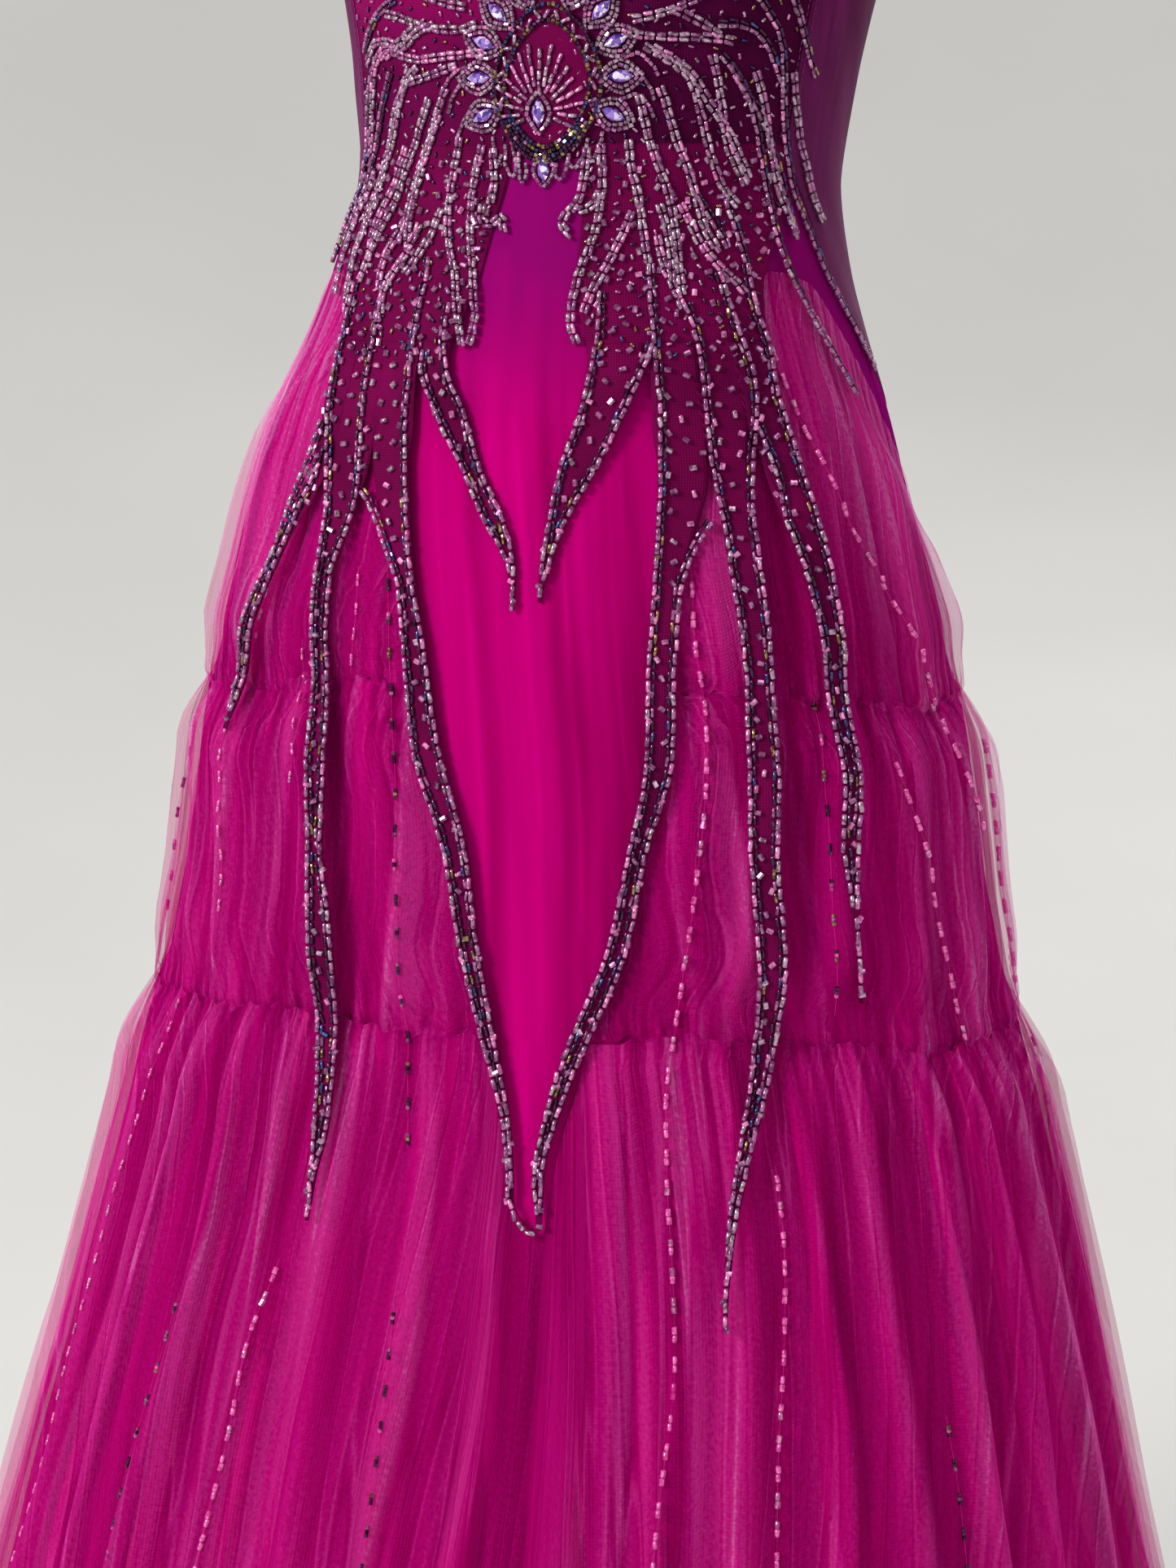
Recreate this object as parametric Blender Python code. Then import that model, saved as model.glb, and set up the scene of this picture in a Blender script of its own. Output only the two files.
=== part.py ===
"""A floor-length strapless evening dress, filled out as it is when worn, with nobody in it.

A fitted bodice meets a flared satin underskirt along a basque seam that drops towards the back.
Three gathered tiers of soft net hang over the underskirt and open at the front in a long V.
Beaded mesh lies over the hips and runs down both sides of the V as long pointed leaves.

Units are metres. +Z is up, the front faces -Y, and +X is to the right as one looks at the front.
The origin is inside the waist. "turn" is in degrees round the dress from its centre front.
"out" is a distance out from the inner face of the satin.
"""
import bmesh
import bpy
import math
from mathutils import Matrix, Vector

NAME = "evening_dress"

# Walls and the gaps between pieces
SATIN = 0.0012
NET = 0.0010
MESH = 0.0010
SEAM = 0.0004
LAID_ON = 0.0006
LAID_ON_NET = 0.0016
NET_EDGE_GAP = 0.0010
# What lies over the net's edge starts to rise this far before it, over this length
COVER_START = 0.050
COVER_RISE = 0.025
V_NEARBY = 2.5

# Heights
HEM_Z = -1.060
NET_HEM_Z = -1.066
TIER_1_SEAM_Z = -0.268
TIER_2_SEAM_Z = -0.450
SKIRT_TOP_Z = 0.0046
# Heights of the rows of points on the mesh over the hips and on the underskirt, which it follows
YOKE_ROWS = (0.0040, -0.027, -0.059, -0.095)
SKIRT_ROWS = (SKIRT_TOP_Z, -0.027, -0.059, -0.095, -0.145, -0.210, -0.300, -0.400, -0.460, -0.520, -0.600,
              -0.740, HEM_Z)

# Turns where the panels of the bodice and the skirt meet
BODICE_SIDE_FRONT = 60.0
BODICE_SIDE_BACK = 115.0
SKIRT_SIDE = 85.0
BACK = 180.0
# The satin panels share columns of points at this step, and each stops this far short of its seam
COLUMN_STEP = 5.0
PANEL_END = 0.12
BODICE_LEVELS = 8

# The inner face of the satin, level by level: centre_x and half_width across, front and back in depth.
# front_line_turn swings the centre front a little, as the cloth hangs
SECTION_COLUMNS = ("z", "centre_x", "half_width", "front", "back", "front_line_turn")
SECTIONS = (
    (0.240, 0.012, 0.146, 0.104, 0.098, -2.0),
    (0.170, 0.012, 0.154, 0.114, 0.103, -2.0),
    (0.120, 0.012, 0.148, 0.110, 0.098, -2.0),
    (0.085, 0.011, 0.141, 0.105, 0.094, -2.0),
    (0.050, 0.009, 0.135, 0.100, 0.091, -2.0),
    (0.000, 0.006, 0.130, 0.096, 0.092, -2.0),
    (-0.050, 0.001, 0.140, 0.101, 0.104, -1.5),
    (-0.100, -0.002, 0.157, 0.107, 0.120, -1.0),
    (-0.150, -0.004, 0.173, 0.111, 0.135, 0.0),
    (-0.200, -0.005, 0.184, 0.114, 0.148, 1.0),
    (-0.268, -0.006, 0.197, 0.116, 0.161, 2.0),
    (-0.330, -0.005, 0.209, 0.118, 0.173, 3.0),
    (-0.400, -0.006, 0.222, 0.120, 0.189, 4.0),
    (-0.450, -0.007, 0.235, 0.123, 0.201, 4.5),
    (-0.500, -0.007, 0.248, 0.130, 0.214, 5.0),
    (-0.600, -0.008, 0.273, 0.151, 0.244, 5.0),
    (-0.800, -0.015, 0.319, 0.199, 0.308, 5.0),
    (-1.070, -0.018, 0.378, 0.265, 0.390, 5.0),
)

# Bust cups shaped by the cut: how far they stand out, and where
CUP_OUT = 0.014
CUP_TURN = 32.0
CUP_TURN_SPREAD = 19.0
CUP_Z = 0.160
CUP_Z_SPREAD = 0.050

# Edges that run round the dress: (turn, z), the same on both sides where turn is from 0 to 180
NECKLINE = ((0, 0.196), (22, 0.218), (42, 0.222), (70, 0.205), (100, 0.176), (140, 0.158), (180, 0.152))
BASQUE = ((0, 0.005), (58, 0.005), (66, -0.012), (78, -0.070), (88, -0.100), (115, -0.138), (180, -0.160))
NET_TOP_RIGHT = ((28, -0.100), (46, -0.052), (58, -0.058), (70, -0.095), (80, -0.135), (96, -0.172),
                 (125, -0.196), (180, -0.208))
NET_TOP_LEFT = ((27, -0.100), (44, -0.052), (58, -0.052), (70, -0.062), (82, -0.078), (98, -0.120),
                (125, -0.180), (180, -0.208))
# The top of the lowest tier in front, where it meets the point of the V: (turn, z) from left to right
NET_V = ((-9.5, -0.4505), (-7.0, -0.490), (-4.5, -0.545), (-1.0, -0.556), (0.8, -0.503), (3.0, -0.475),
         (5.0, -0.4505))

# The edge of the net beside the V: (z, turn)
NET_EDGE_RIGHT = ((-0.100, 28.0), (-0.150, 26.5), (-0.200, 22.5), (-0.268, 19.6), (-0.300, 18.2),
                  (-0.350, 13.2), (-0.400, 9.8), (-0.450, 4.2))
NET_EDGE_LEFT = ((-0.100, 27.0), (-0.150, 25.0), (-0.200, 21.8), (-0.268, 18.4), (-0.300, 17.0),
                 (-0.350, 13.2), (-0.400, 11.0), (-0.450, 8.6))

# How far the net stands off the satin at the sides and at the front, and how deep it folds
NET_STAND_COLUMNS = ("z", "side", "front", "fold")
NET_STAND = (
    (-0.050, 0.001, 0.000, 0.0015),
    (-0.100, 0.003, 0.000, 0.0025),
    (-0.150, 0.008, 0.000, 0.0035),
    (-0.200, 0.014, 0.000, 0.0040),
    (-0.235, 0.017, 0.000, 0.0035),
    (-0.268, 0.011, 0.000, 0.0022),
    (-0.310, 0.020, 0.000, 0.0045),
    (-0.400, 0.022, 0.000, 0.0050),
    (-0.450, 0.011, 0.000, 0.0025),
    (-0.500, 0.020, 0.000, 0.0055),
    (-0.600, 0.023, 0.003, 0.0070),
    (-0.800, 0.025, 0.012, 0.0095),
    (-1.070, 0.027, 0.019, 0.0130),
)
# The net stands off fully this far round from its front edge, this far below its top edge, and on the
# lowest tier this far round from the centre front. Its folds are at most this share of the room under it
NET_STAND_REACH = 45.0
NET_TOP_REACH = 0.070
TIER_3_STAND_FROM = 6.0
FOLD_LIMIT = 0.75

# Gathers: how many folds each tier has from the V to the centre back, or all round, and how they vary
TIER_1_FOLDS = 7
TIER_2_FOLDS = 12
TIER_3_FOLDS_FRONT = 18
TIER_3_FOLDS_BACK = 18
FOLD_WIDTHS = (1.00, 0.78, 1.22, 0.90, 1.15, 0.84, 1.10)
FOLD_HEIGHTS = (1.00, 0.75, 1.10, 0.85, 1.15)
FOLD_SHAPE = (-0.5, 1.0, -0.5)
# Rows of points down each tier, as shares of its height
TIER_1_LEVELS = (0.0, 0.22, 0.46, 0.74, 1.0)
TIER_2_LEVELS = (0.0, 0.22, 0.62, 1.0)
TIER_3_LEVELS = (0.0, 0.07, 0.22, 0.50, 1.0)

# Soft folds of the satin inside the V, and over how far they die out at the sides, top and bottom
WINDOW_FOLDS = 7
WINDOW_TURN = 24.0
WINDOW_FOLD_OUT = 0.0012
WINDOW_FADE = 8.0
WINDOW_TOP_Z = -0.08
WINDOW_TOP_FADE = 0.10
WINDOW_END_Z = -0.80
WINDOW_END_FADE = 0.25
# What lies on the satin clears its folds from this much further round and up
WINDOW_SPARE_TURN = 4.0
WINDOW_SPARE_Z = 0.02

# Pointed leaves of beaded mesh: (z, turn of the edge nearest the front, turn of the other edge)
LEAVES = {
    "leaf_right_1": (
        (-0.0955, 11.5, 22.0), (-0.125, 9.0, 17.5), (-0.150, 5.5, 12.5), (-0.178, 3.2, 6.6),
        (-0.205, 1.6, 3.0), (-0.220, 1.2, 1.8),
    ),
    "leaf_right_2": (
        (-0.0955, 24.0, 31.6), (-0.150, 22.4, 31.4), (-0.200, 20.0, 25.4), (-0.250, 17.6, 22.4),
        (-0.300, 15.6, 20.2), (-0.350, 11.6, 14.6), (-0.400, 7.8, 11.0), (-0.450, 2.2, 5.0),
        (-0.480, -0.6, 1.6), (-0.520, -2.4, -0.9), (-0.547, -1.6, -0.9),
    ),
    "leaf_right_3": (
        (-0.0955, 32.2, 40.0), (-0.150, 32.2, 38.8), (-0.200, 32.4, 38.2), (-0.250, 32.8, 37.8),
        (-0.300, 31.0, 36.2), (-0.350, 29.0, 33.6), (-0.400, 28.4, 32.8), (-0.450, 26.2, 29.6),
        (-0.500, 22.6, 24.6), (-0.550, 20.4, 21.4), (-0.590, 19.8, 20.3),
    ),
    "leaf_right_4": (
        (-0.0955, 40.6, 48.0), (-0.150, 41.4, 49.0), (-0.200, 44.6, 50.4), (-0.250, 46.0, 50.4),
        (-0.300, 45.4, 49.0), (-0.350, 42.6, 45.4), (-0.385, 42.8, 43.8), (-0.425, 42.2, 42.8),
    ),
    "leaf_left_1": (
        (-0.0955, 15.5, 21.5), (-0.125, 10.8, 17.0), (-0.150, 8.0, 12.0), (-0.178, 3.8, 7.8),
        (-0.202, 2.2, 3.8), (-0.224, 2.6, 3.2),
    ),
    "leaf_left_2": (
        (-0.0955, 23.0, 30.4), (-0.150, 21.4, 29.2), (-0.200, 19.8, 23.6), (-0.250, 16.6, 21.0),
        (-0.300, 14.4, 19.4), (-0.350, 11.0, 15.0), (-0.400, 9.4, 12.6), (-0.450, 7.0, 9.2),
        (-0.500, 5.0, 6.2), (-0.535, 4.4, 5.4),
    ),
    "leaf_left_3": (
        (-0.0955, 31.0, 38.6), (-0.150, 30.0, 38.2), (-0.200, 34.6, 38.2), (-0.250, 34.0, 37.6),
        (-0.300, 33.0, 36.8), (-0.350, 32.4, 35.2), (-0.400, 30.0, 34.0), (-0.450, 28.6, 32.0),
        (-0.500, 27.6, 29.8), (-0.530, 28.2, 29.2), (-0.550, 28.2, 28.7),
    ),
    "leaf_left_4": (
        (-0.0955, 39.2, 45.0), (-0.150, 39.2, 42.6), (-0.200, 45.6, 48.4), (-0.250, 51.0, 54.2),
        (-0.278, 53.0, 55.4), (-0.296, 53.6, 54.6),
    ),
}
LEAF_ROW = 0.032
# The rows of beads along a leaf's edges raise it by BEAD_RIDGE: (share of the way across, share of that)
BEAD_RIDGE = 0.0014
LEAF_ACROSS = ((0.0, 0.4), (0.16, 1.0), (0.5, 0.0), (0.84, 1.0), (1.0, 0.4))

# The beaded mesh on each hip, above the leaves: (z, near turn, far turn)
YOKES = {
    "hip_yoke_right": ((0.005, 8.0, 60.0), (-0.027, 9.5, 57.0), (-0.059, 9.0, 50.0), (-0.095, 11.5, 48.0)),
    "hip_yoke_left": ((0.005, 8.0, 60.0), (-0.027, 10.0, 60.0), (-0.059, 12.0, 50.0), (-0.095, 15.5, 45.0)),
}
YOKE_COLUMNS = 9

# How far up and down the cloth's slope is read where a piece is set on it
FRAME_REACH = 0.004

# The oval ornament at the waist, and the marquise stones round it
ORNAMENT_Z = 0.045
ORNAMENT_HALF_WIDTH = 0.027
ORNAMENT_HALF_HEIGHT = 0.038
ORNAMENT_POWER = 1.7
ORNAMENT_SEGMENTS = 20
# From its middle to its rim: (share of the half-width, height over its back)
ORNAMENT_RINGS = ((0.0, 0.0016), (0.45, 0.0022), (0.68, 0.0036), (0.84, 0.0026), (1.0, 0.0012))
STONE_LENGTH = 0.0134
STONE_WIDTH = 0.0064
STONE_HEIGHT = 0.0026
STONE_TABLE = 0.45
STONE_SIDES = 8
STONE_RING_X = 0.0375
STONE_RING_Z = 0.0460
# Degrees clockwise from the top of the ornament, none where the bead sprays start
STONE_ANGLES = (22, 46, 68, 90, 114, 180, 246, 270, 292, 314, 338)
# How far the stones' backs are out from the satin, and the one that lies across the waist seam
STONE_SEAT = 0.0006
STONE_SEAT_ON_SEAM = 0.0011

# The zip at the centre back
ZIP_HALF_WIDTH = 0.0045
ZIP_SIDE_GAP = 0.0004
ZIP_WALL = 0.0012
SLIDER_TOP_DROP = 0.010
SLIDER_WIDTH = 0.0086
SLIDER_LENGTH = 0.011
SLIDER_HEIGHT = 0.0018
SLIDER_SEAT = 0.0004
LUG_THICKNESS = 0.0014
LUG_SIZE = 0.0030
LUG_GAP = 0.0003
TAB_PIVOT_HEIGHT = 0.0032
TAB_BARREL_RADIUS = 0.0009
TAB_BARREL_LENGTH = 0.0040
TAB_BARREL_SIDES = 12
TAB_WIDTH = 0.0034
TAB_LENGTH = 0.022
TAB_THICKNESS = 0.0012

# Each material: colour, roughness, metallic
COLOURS = {
    "satin": ((0.52, 0.0, 0.18, 1.0), 0.42, 0.0),
    "bodice_mesh": ((0.09, 0.006, 0.05, 1.0), 0.55, 0.0),
    "side_satin": ((0.13, 0.014, 0.085, 1.0), 0.45, 0.0),
    "net": ((0.50, 0.02, 0.20, 1.0), 0.75, 0.0),
    "wine_mesh": ((0.12, 0.005, 0.05, 1.0), 0.6, 0.0),
    "beads": ((0.45, 0.28, 0.42, 1.0), 0.2, 0.1),
    "stone": ((0.32, 0.2, 0.65, 1.0), 0.08, 0.0),
    "zip_tape": ((0.16, 0.01, 0.09, 1.0), 0.6, 0.0),
    "zip_metal": ((0.5, 0.45, 0.5, 1.0), 0.25, 1.0),
}


def smooth_step(value):
    """0 below 0, 1 above 1, and a soft rise between."""
    held = min(max(value, 0.0), 1.0)
    return held * held * (3.0 - 2.0 * held)


def mix(low, high, share):
    return low + (high - low) * share


def table_slope(rows, index, column):
    """The slope of one column at a row, flat where the column turns back."""
    if index in (0, len(rows) - 1):
        return 0.0
    before, here, after = (rows[index + step] for step in (-1, 0, 1))
    rise_in = (here[column] - before[column]) / (here[0] - before[0])
    rise_out = (after[column] - here[column]) / (after[0] - here[0])
    if rise_in * rise_out <= 0:
        return 0.0
    return 2.0 * rise_in * rise_out / (rise_in + rise_out)


def read_table(rows, key, column=1):
    """Reads a column at a key with a smooth curve through the rows, held flat past either end."""
    rising = rows if rows[0][0] < rows[-1][0] else rows[::-1]
    if key <= rising[0][0]:
        return rising[0][column]
    if key >= rising[-1][0]:
        return rising[-1][column]
    index = next(i for i in range(len(rising) - 1) if rising[i + 1][0] >= key)
    low, high = rising[index], rising[index + 1]
    span = high[0] - low[0]
    t = (key - low[0]) / span
    slope_low = table_slope(rising, index, column) * span
    slope_high = table_slope(rising, index + 1, column) * span
    cubic = 2 * t**3 - 3 * t**2
    return (low[column] * (cubic + 1) + slope_low * (t**3 - 2 * t**2 + t)
            - high[column] * cubic + slope_high * (t**3 - t**2))


def section(z, name):
    return read_table(SECTIONS, z, SECTION_COLUMNS.index(name))


def net_stand(z, name):
    return read_table(NET_STAND, z, NET_STAND_COLUMNS.index(name))


def half_turn(turn):
    """A turn read as 0 to 180 on either side."""
    wrapped = abs(turn) % 360.0
    return min(wrapped, 360.0 - wrapped)


def cup_out(turn, z):
    across = (half_turn(turn) - CUP_TURN) / CUP_TURN_SPREAD
    up = (z - CUP_Z) / CUP_Z_SPREAD
    return CUP_OUT * math.exp(-across * across - up * up)


def place(turn, z, out):
    """The point at a turn and a height, out from the inner face of the satin."""
    angle = math.radians(turn + section(z, "front_line_turn"))
    width = section(z, "half_width")
    depth = section(z, "front" if math.cos(angle) > 0 else "back")
    outward = Vector((depth * math.sin(angle), -width * math.cos(angle), 0.0)).normalized()
    on_face = Vector((section(z, "centre_x") + width * math.sin(angle), -depth * math.cos(angle), z))
    return on_face + outward * (out + cup_out(turn, z))


def neckline(turn):
    return read_table(NECKLINE, half_turn(turn))


def basque(turn):
    return read_table(BASQUE, half_turn(turn))


def net_top(turn):
    return read_table(NET_TOP_RIGHT if turn > 0 else NET_TOP_LEFT, half_turn(turn))


def net_edge(z, side):
    """The turn of the net's front edge, positive on the right and negative on the left."""
    return side * read_table(NET_EDGE_RIGHT if side > 0 else NET_EDGE_LEFT, z)


def tier_3_top(turn):
    if NET_V[0][0] < turn < NET_V[-1][0]:
        return read_table(NET_V, turn)
    return TIER_2_SEAM_Z - SEAM


def satin_fold(turn, z):
    """Soft upright folds of the satin inside the V, dying out towards its sides and the waist."""
    fade = smooth_step((WINDOW_TURN - abs(turn)) / WINDOW_FADE)
    fade *= smooth_step((WINDOW_TOP_Z - z) / WINDOW_TOP_FADE)
    fade *= smooth_step((z - WINDOW_END_Z) / WINDOW_END_FADE)
    wave = 0.5 + 0.5 * math.cos(math.radians(turn) * 180.0 * WINDOW_FOLDS / WINDOW_TURN)
    return WINDOW_FOLD_OUT * fade * wave


def satin_fold_limit(turn, z):
    """How far the satin's folds can reach near a point, for what lies on top of them."""
    fade = smooth_step((WINDOW_TURN + WINDOW_SPARE_TURN - abs(turn)) / WINDOW_FADE)
    return WINDOW_FOLD_OUT * fade * smooth_step((WINDOW_TOP_Z + WINDOW_SPARE_Z - z) / WINDOW_TOP_FADE)


def net_side_share(turn, z):
    """0 at the net's front edge and 1 where it stands off as it does at the sides."""
    side = 1 if turn > 0 else -1
    edge = abs(net_edge(z, side)) if z > TIER_2_SEAM_Z else TIER_3_STAND_FROM
    return smooth_step((half_turn(turn) - edge) / NET_STAND_REACH)


def net_out(turn, z):
    """How far the net's inner face stands out, before its folds."""
    share = net_side_share(turn, z)
    top = smooth_step((net_top(turn) - z) / NET_TOP_REACH) if z > TIER_1_SEAM_Z else 1.0
    stand = mix(net_stand(z, "front"), net_stand(z, "side"), share) * top
    return SATIN + NET_EDGE_GAP + satin_fold_limit(turn, z) + stand


def net_fold(turn, z):
    """The depth of the net's folds, which die out where it lies close to the satin."""
    room = net_out(turn, z) - SATIN - NET_EDGE_GAP - satin_fold_limit(turn, z)
    return min(net_stand(z, "fold"), FOLD_LIMIT * room)


def net_cover(turn, z):
    """0 where the satin is bare and 1 where the net covers it, rising just before the net's edge."""
    side = 1 if turn > 0 else -1
    per_degree = math.radians(1.0) * section(z, "half_width")
    beside = (abs(turn) - abs(net_edge(z, side))) * per_degree
    below = net_top(turn) - z
    inside = max(tier_3_top(turn + nearby) - z for nearby in (-V_NEARBY, 0.0, V_NEARBY))
    if z > TIER_2_SEAM_Z:
        inside = max(inside, min(beside, below))
    return smooth_step((inside + COVER_START) / COVER_RISE)


def cover_out(turn, z):
    """The inner face of what lies on the satin and, past its edge, on the net's outer folds."""
    bare = SATIN + LAID_ON + satin_fold_limit(turn, z)
    tallest = max(FOLD_HEIGHTS)
    over_net = net_out(turn, z) + net_fold(turn, z) * tallest + NET + LAID_ON_NET
    return mix(bare, over_net, net_cover(turn, z))


def make_material(name):
    colour, roughness, metallic = COLOURS[name]
    material = bpy.data.materials.new(name)
    material.use_nodes = True
    shader = material.node_tree.nodes["Principled BSDF"]
    shader.inputs["Base Color"].default_value = colour
    shader.inputs["Roughness"].default_value = roughness
    shader.inputs["Metallic"].default_value = metallic
    material.diffuse_color = colour
    return material


def make_object(name, mesh, collection, colour):
    thing = bpy.data.objects.new(name, mesh)
    mesh.materials.append(make_material(colour))
    mesh.materials[0].name = name + "_" + colour
    collection.objects.link(thing)
    return thing


def loft_wall(name, inner, outer, collection, colour):
    """A closed wall between two grids of points, inner and outer, given as columns of rows."""
    columns, rows = len(inner), len(inner[0])
    shape = bmesh.new()
    grids = [[[shape.verts.new(point) for point in column] for column in grid] for grid in (inner, outer)]

    def quad(a, b, c, d):
        shape.faces.new((a, b, c, d))

    near, far = grids
    for i in range(columns - 1):
        for j in range(rows - 1):
            quad(far[i][j], far[i][j + 1], far[i + 1][j + 1], far[i + 1][j])
            quad(near[i][j], near[i + 1][j], near[i + 1][j + 1], near[i][j + 1])
        for j, flip in ((0, False), (rows - 1, True)):
            ring = (near[i][j], far[i][j], far[i + 1][j], near[i + 1][j])
            quad(*(ring[::-1] if flip else ring))
    for i, flip in ((0, True), (columns - 1, False)):
        for j in range(rows - 1):
            ring = (near[i][j], far[i][j], far[i][j + 1], near[i][j + 1])
            quad(*(ring[::-1] if flip else ring))
    bmesh.ops.recalc_face_normals(shape, faces=shape.faces)
    mesh = bpy.data.meshes.new(name)
    shape.to_mesh(mesh)
    shape.free()
    mesh.shade_smooth()
    mesh.set_sharp_from_angle(angle=math.radians(45.0))
    return make_object(name, mesh, collection, colour)


def even(low, high, count):
    return [mix(low, high, i / (count - 1)) for i in range(count)]


def satin_columns(first, last):
    """Turns from one edge of a satin panel to the next, at steps that all satin panels share."""
    count = round((last - first) / COLUMN_STEP)
    turns = [first + COLUMN_STEP * i for i in range(count + 1)]
    return [first + PANEL_END] + turns[1:-1] + [last - PANEL_END]


def panel(name, turns, top, bottom, levels, out, wall, collection, colour):
    """A plain panel of cloth between two edges. levels are shares of the way down."""
    inner, outer = [], []
    for turn in turns:
        heights = [mix(top(turn), bottom(turn), level) for level in levels]
        inner.append([place(turn, z, out(turn, z)) for z in heights])
        outer.append([place(turn, z, out(turn, z) + wall) for z in heights])
    return loft_wall(name, inner, outer, collection, colour)


def bodice_panels(collection):
    """Five panels: the front, two sides and two backs, with room for the zip between the backs."""
    levels = even(0.0, 1.0, BODICE_LEVELS)

    def flat(turn, z):
        return 0.0

    front = satin_columns(-BODICE_SIDE_FRONT, BODICE_SIDE_FRONT)
    panel("bodice_front", front, neckline, basque, levels, flat, SATIN, collection, "bodice_mesh")
    for side, label in ((1, "right"), (-1, "left")):
        sides = [side * turn for turn in satin_columns(BODICE_SIDE_FRONT, BODICE_SIDE_BACK)]
        panel("bodice_side_" + label, sides, neckline, basque, levels, flat, SATIN, collection,
              "side_satin")
        inner, outer = [], []
        for nominal in satin_columns(BODICE_SIDE_BACK, BACK):
            column = []
            for level in levels:
                z = mix(neckline(nominal), basque(nominal), level)
                zip_edge = BACK - math.degrees((ZIP_HALF_WIDTH + ZIP_SIDE_GAP) / section(z, "half_width"))
                column.append((side * min(nominal, zip_edge), z))
            inner.append([place(turn, z, 0.0) for turn, z in column])
            outer.append([place(turn, z, SATIN) for turn, z in column])
        loft_wall("bodice_back_" + label, inner, outer, collection, "side_satin")


def underskirt_panels(collection):
    """A front panel, which shows in the V, and two back panels that meet at the centre back."""
    def top(turn):
        return basque(turn) - SEAM

    def bottom(turn):
        return HEM_Z

    sides = [turn for turn in satin_columns(0.0, SKIRT_SIDE) if turn > WINDOW_TURN]
    turns = [-turn for turn in sides[::-1]] + even(-WINDOW_TURN, WINDOW_TURN, 2 * WINDOW_FOLDS + 1) + sides
    levels = [(SKIRT_TOP_Z - z) / (SKIRT_TOP_Z - HEM_Z) for z in SKIRT_ROWS]
    panel("underskirt_front", turns, top, bottom, levels, satin_fold, SATIN, collection, "satin")
    for side, label in ((1, "right"), (-1, "left")):
        backs = [side * turn for turn in satin_columns(SKIRT_SIDE, BACK)]
        panel("underskirt_back_" + label, backs, top, bottom, levels, satin_fold, SATIN, collection,
              "satin")


def fold_columns(folds):
    """Shares from 0 to 1 along a gathered edge, with the height of the fold at each."""
    widths = [FOLD_WIDTHS[i % len(FOLD_WIDTHS)] for i in range(folds)]
    total = sum(widths)
    columns, start = [], 0.0
    for i in range(folds):
        height = FOLD_HEIGHTS[i % len(FOLD_HEIGHTS)]
        for k in range(len(FOLD_SHAPE)):
            share = (start + widths[i] * k / len(FOLD_SHAPE)) / total
            columns.append((share, FOLD_SHAPE[k] * height))
        start += widths[i]
    columns.append((1.0, FOLD_SHAPE[-1]))
    return columns


def net_panel(name, columns, turn_at, top, bottom, levels, collection):
    """A gathered panel of net. turn_at gives the turn from a share and a height."""
    inner, outer = [], []
    for share, shape in columns:
        middle = mix(top(turn_at(share, TIER_1_SEAM_Z)), bottom, 0.5)
        high = top(turn_at(share, middle))
        column = []
        for level in levels:
            z = mix(high, bottom, level)
            turn = turn_at(share, z)
            column.append((turn, z, net_out(turn, z) + shape * net_fold(turn, z)))
        inner.append([place(turn, z, out) for turn, z, out in column])
        outer.append([place(turn, z, out + NET) for turn, z, out in column])
    return loft_wall(name, inner, outer, collection, "net")


def net_tiers(collection):
    """Three gathered tiers: the upper two open at the V, and the lowest runs all round."""
    for side, label in ((1, "right"), (-1, "left")):
        def turn_at(share, z, side=side):
            return mix(net_edge(z, side), side * (BACK - PANEL_END), share)

        def seam_1(turn):
            return TIER_1_SEAM_Z - SEAM

        net_panel("net_tier_1_" + label, fold_columns(TIER_1_FOLDS), turn_at, net_top, TIER_1_SEAM_Z,
                  TIER_1_LEVELS, collection)
        net_panel("net_tier_2_" + label, fold_columns(TIER_2_FOLDS), turn_at, seam_1, TIER_2_SEAM_Z,
                  TIER_2_LEVELS, collection)
    halves = (("net_tier_3_front", -SKIRT_SIDE, SKIRT_SIDE, TIER_3_FOLDS_FRONT),
              ("net_tier_3_back", SKIRT_SIDE, 360.0 - SKIRT_SIDE, TIER_3_FOLDS_BACK))
    for name, first, last, folds in halves:
        def turn_at(share, z, first=first, last=last):
            return mix(first + PANEL_END, last - PANEL_END, share)

        net_panel(name, fold_columns(folds), turn_at, tier_3_top, NET_HEM_Z, TIER_3_LEVELS, collection)


def strip(name, side, rows, across, heights, collection):
    """A strip of mesh from rows of (z, near turn, far turn), moved out over what it lies on."""
    inner, outer = [], []
    for share, ridge in across:
        column = []
        for z in heights:
            turn = side * mix(read_table(rows, z, 1), read_table(rows, z, 2), share)
            column.append((turn, z, cover_out(turn, z)))
        inner.append([place(turn, z, out) for turn, z, out in column])
        outer.append([place(turn, z, out + MESH + BEAD_RIDGE * ridge) for turn, z, out in column])
    return loft_wall(name, inner, outer, collection, "wine_mesh")


def beaded_mesh(collection):
    """The mesh on the hips, and the leaves below it with beads raised along both edges."""
    yoke_across = [(share, 0.0) for share in even(0.0, 1.0, YOKE_COLUMNS)]
    for name, rows in YOKES.items():
        strip(name, 1 if "right" in name else -1, rows, yoke_across, YOKE_ROWS, collection)
    for name, rows in LEAVES.items():
        top, tip = rows[0][0], rows[-1][0]
        heights = even(top, tip, max(4, round((top - tip) / LEAF_ROW) + 1))
        strip(name, 1 if "right" in name else -1, rows, LEAF_ACROSS, heights, collection)


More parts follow.
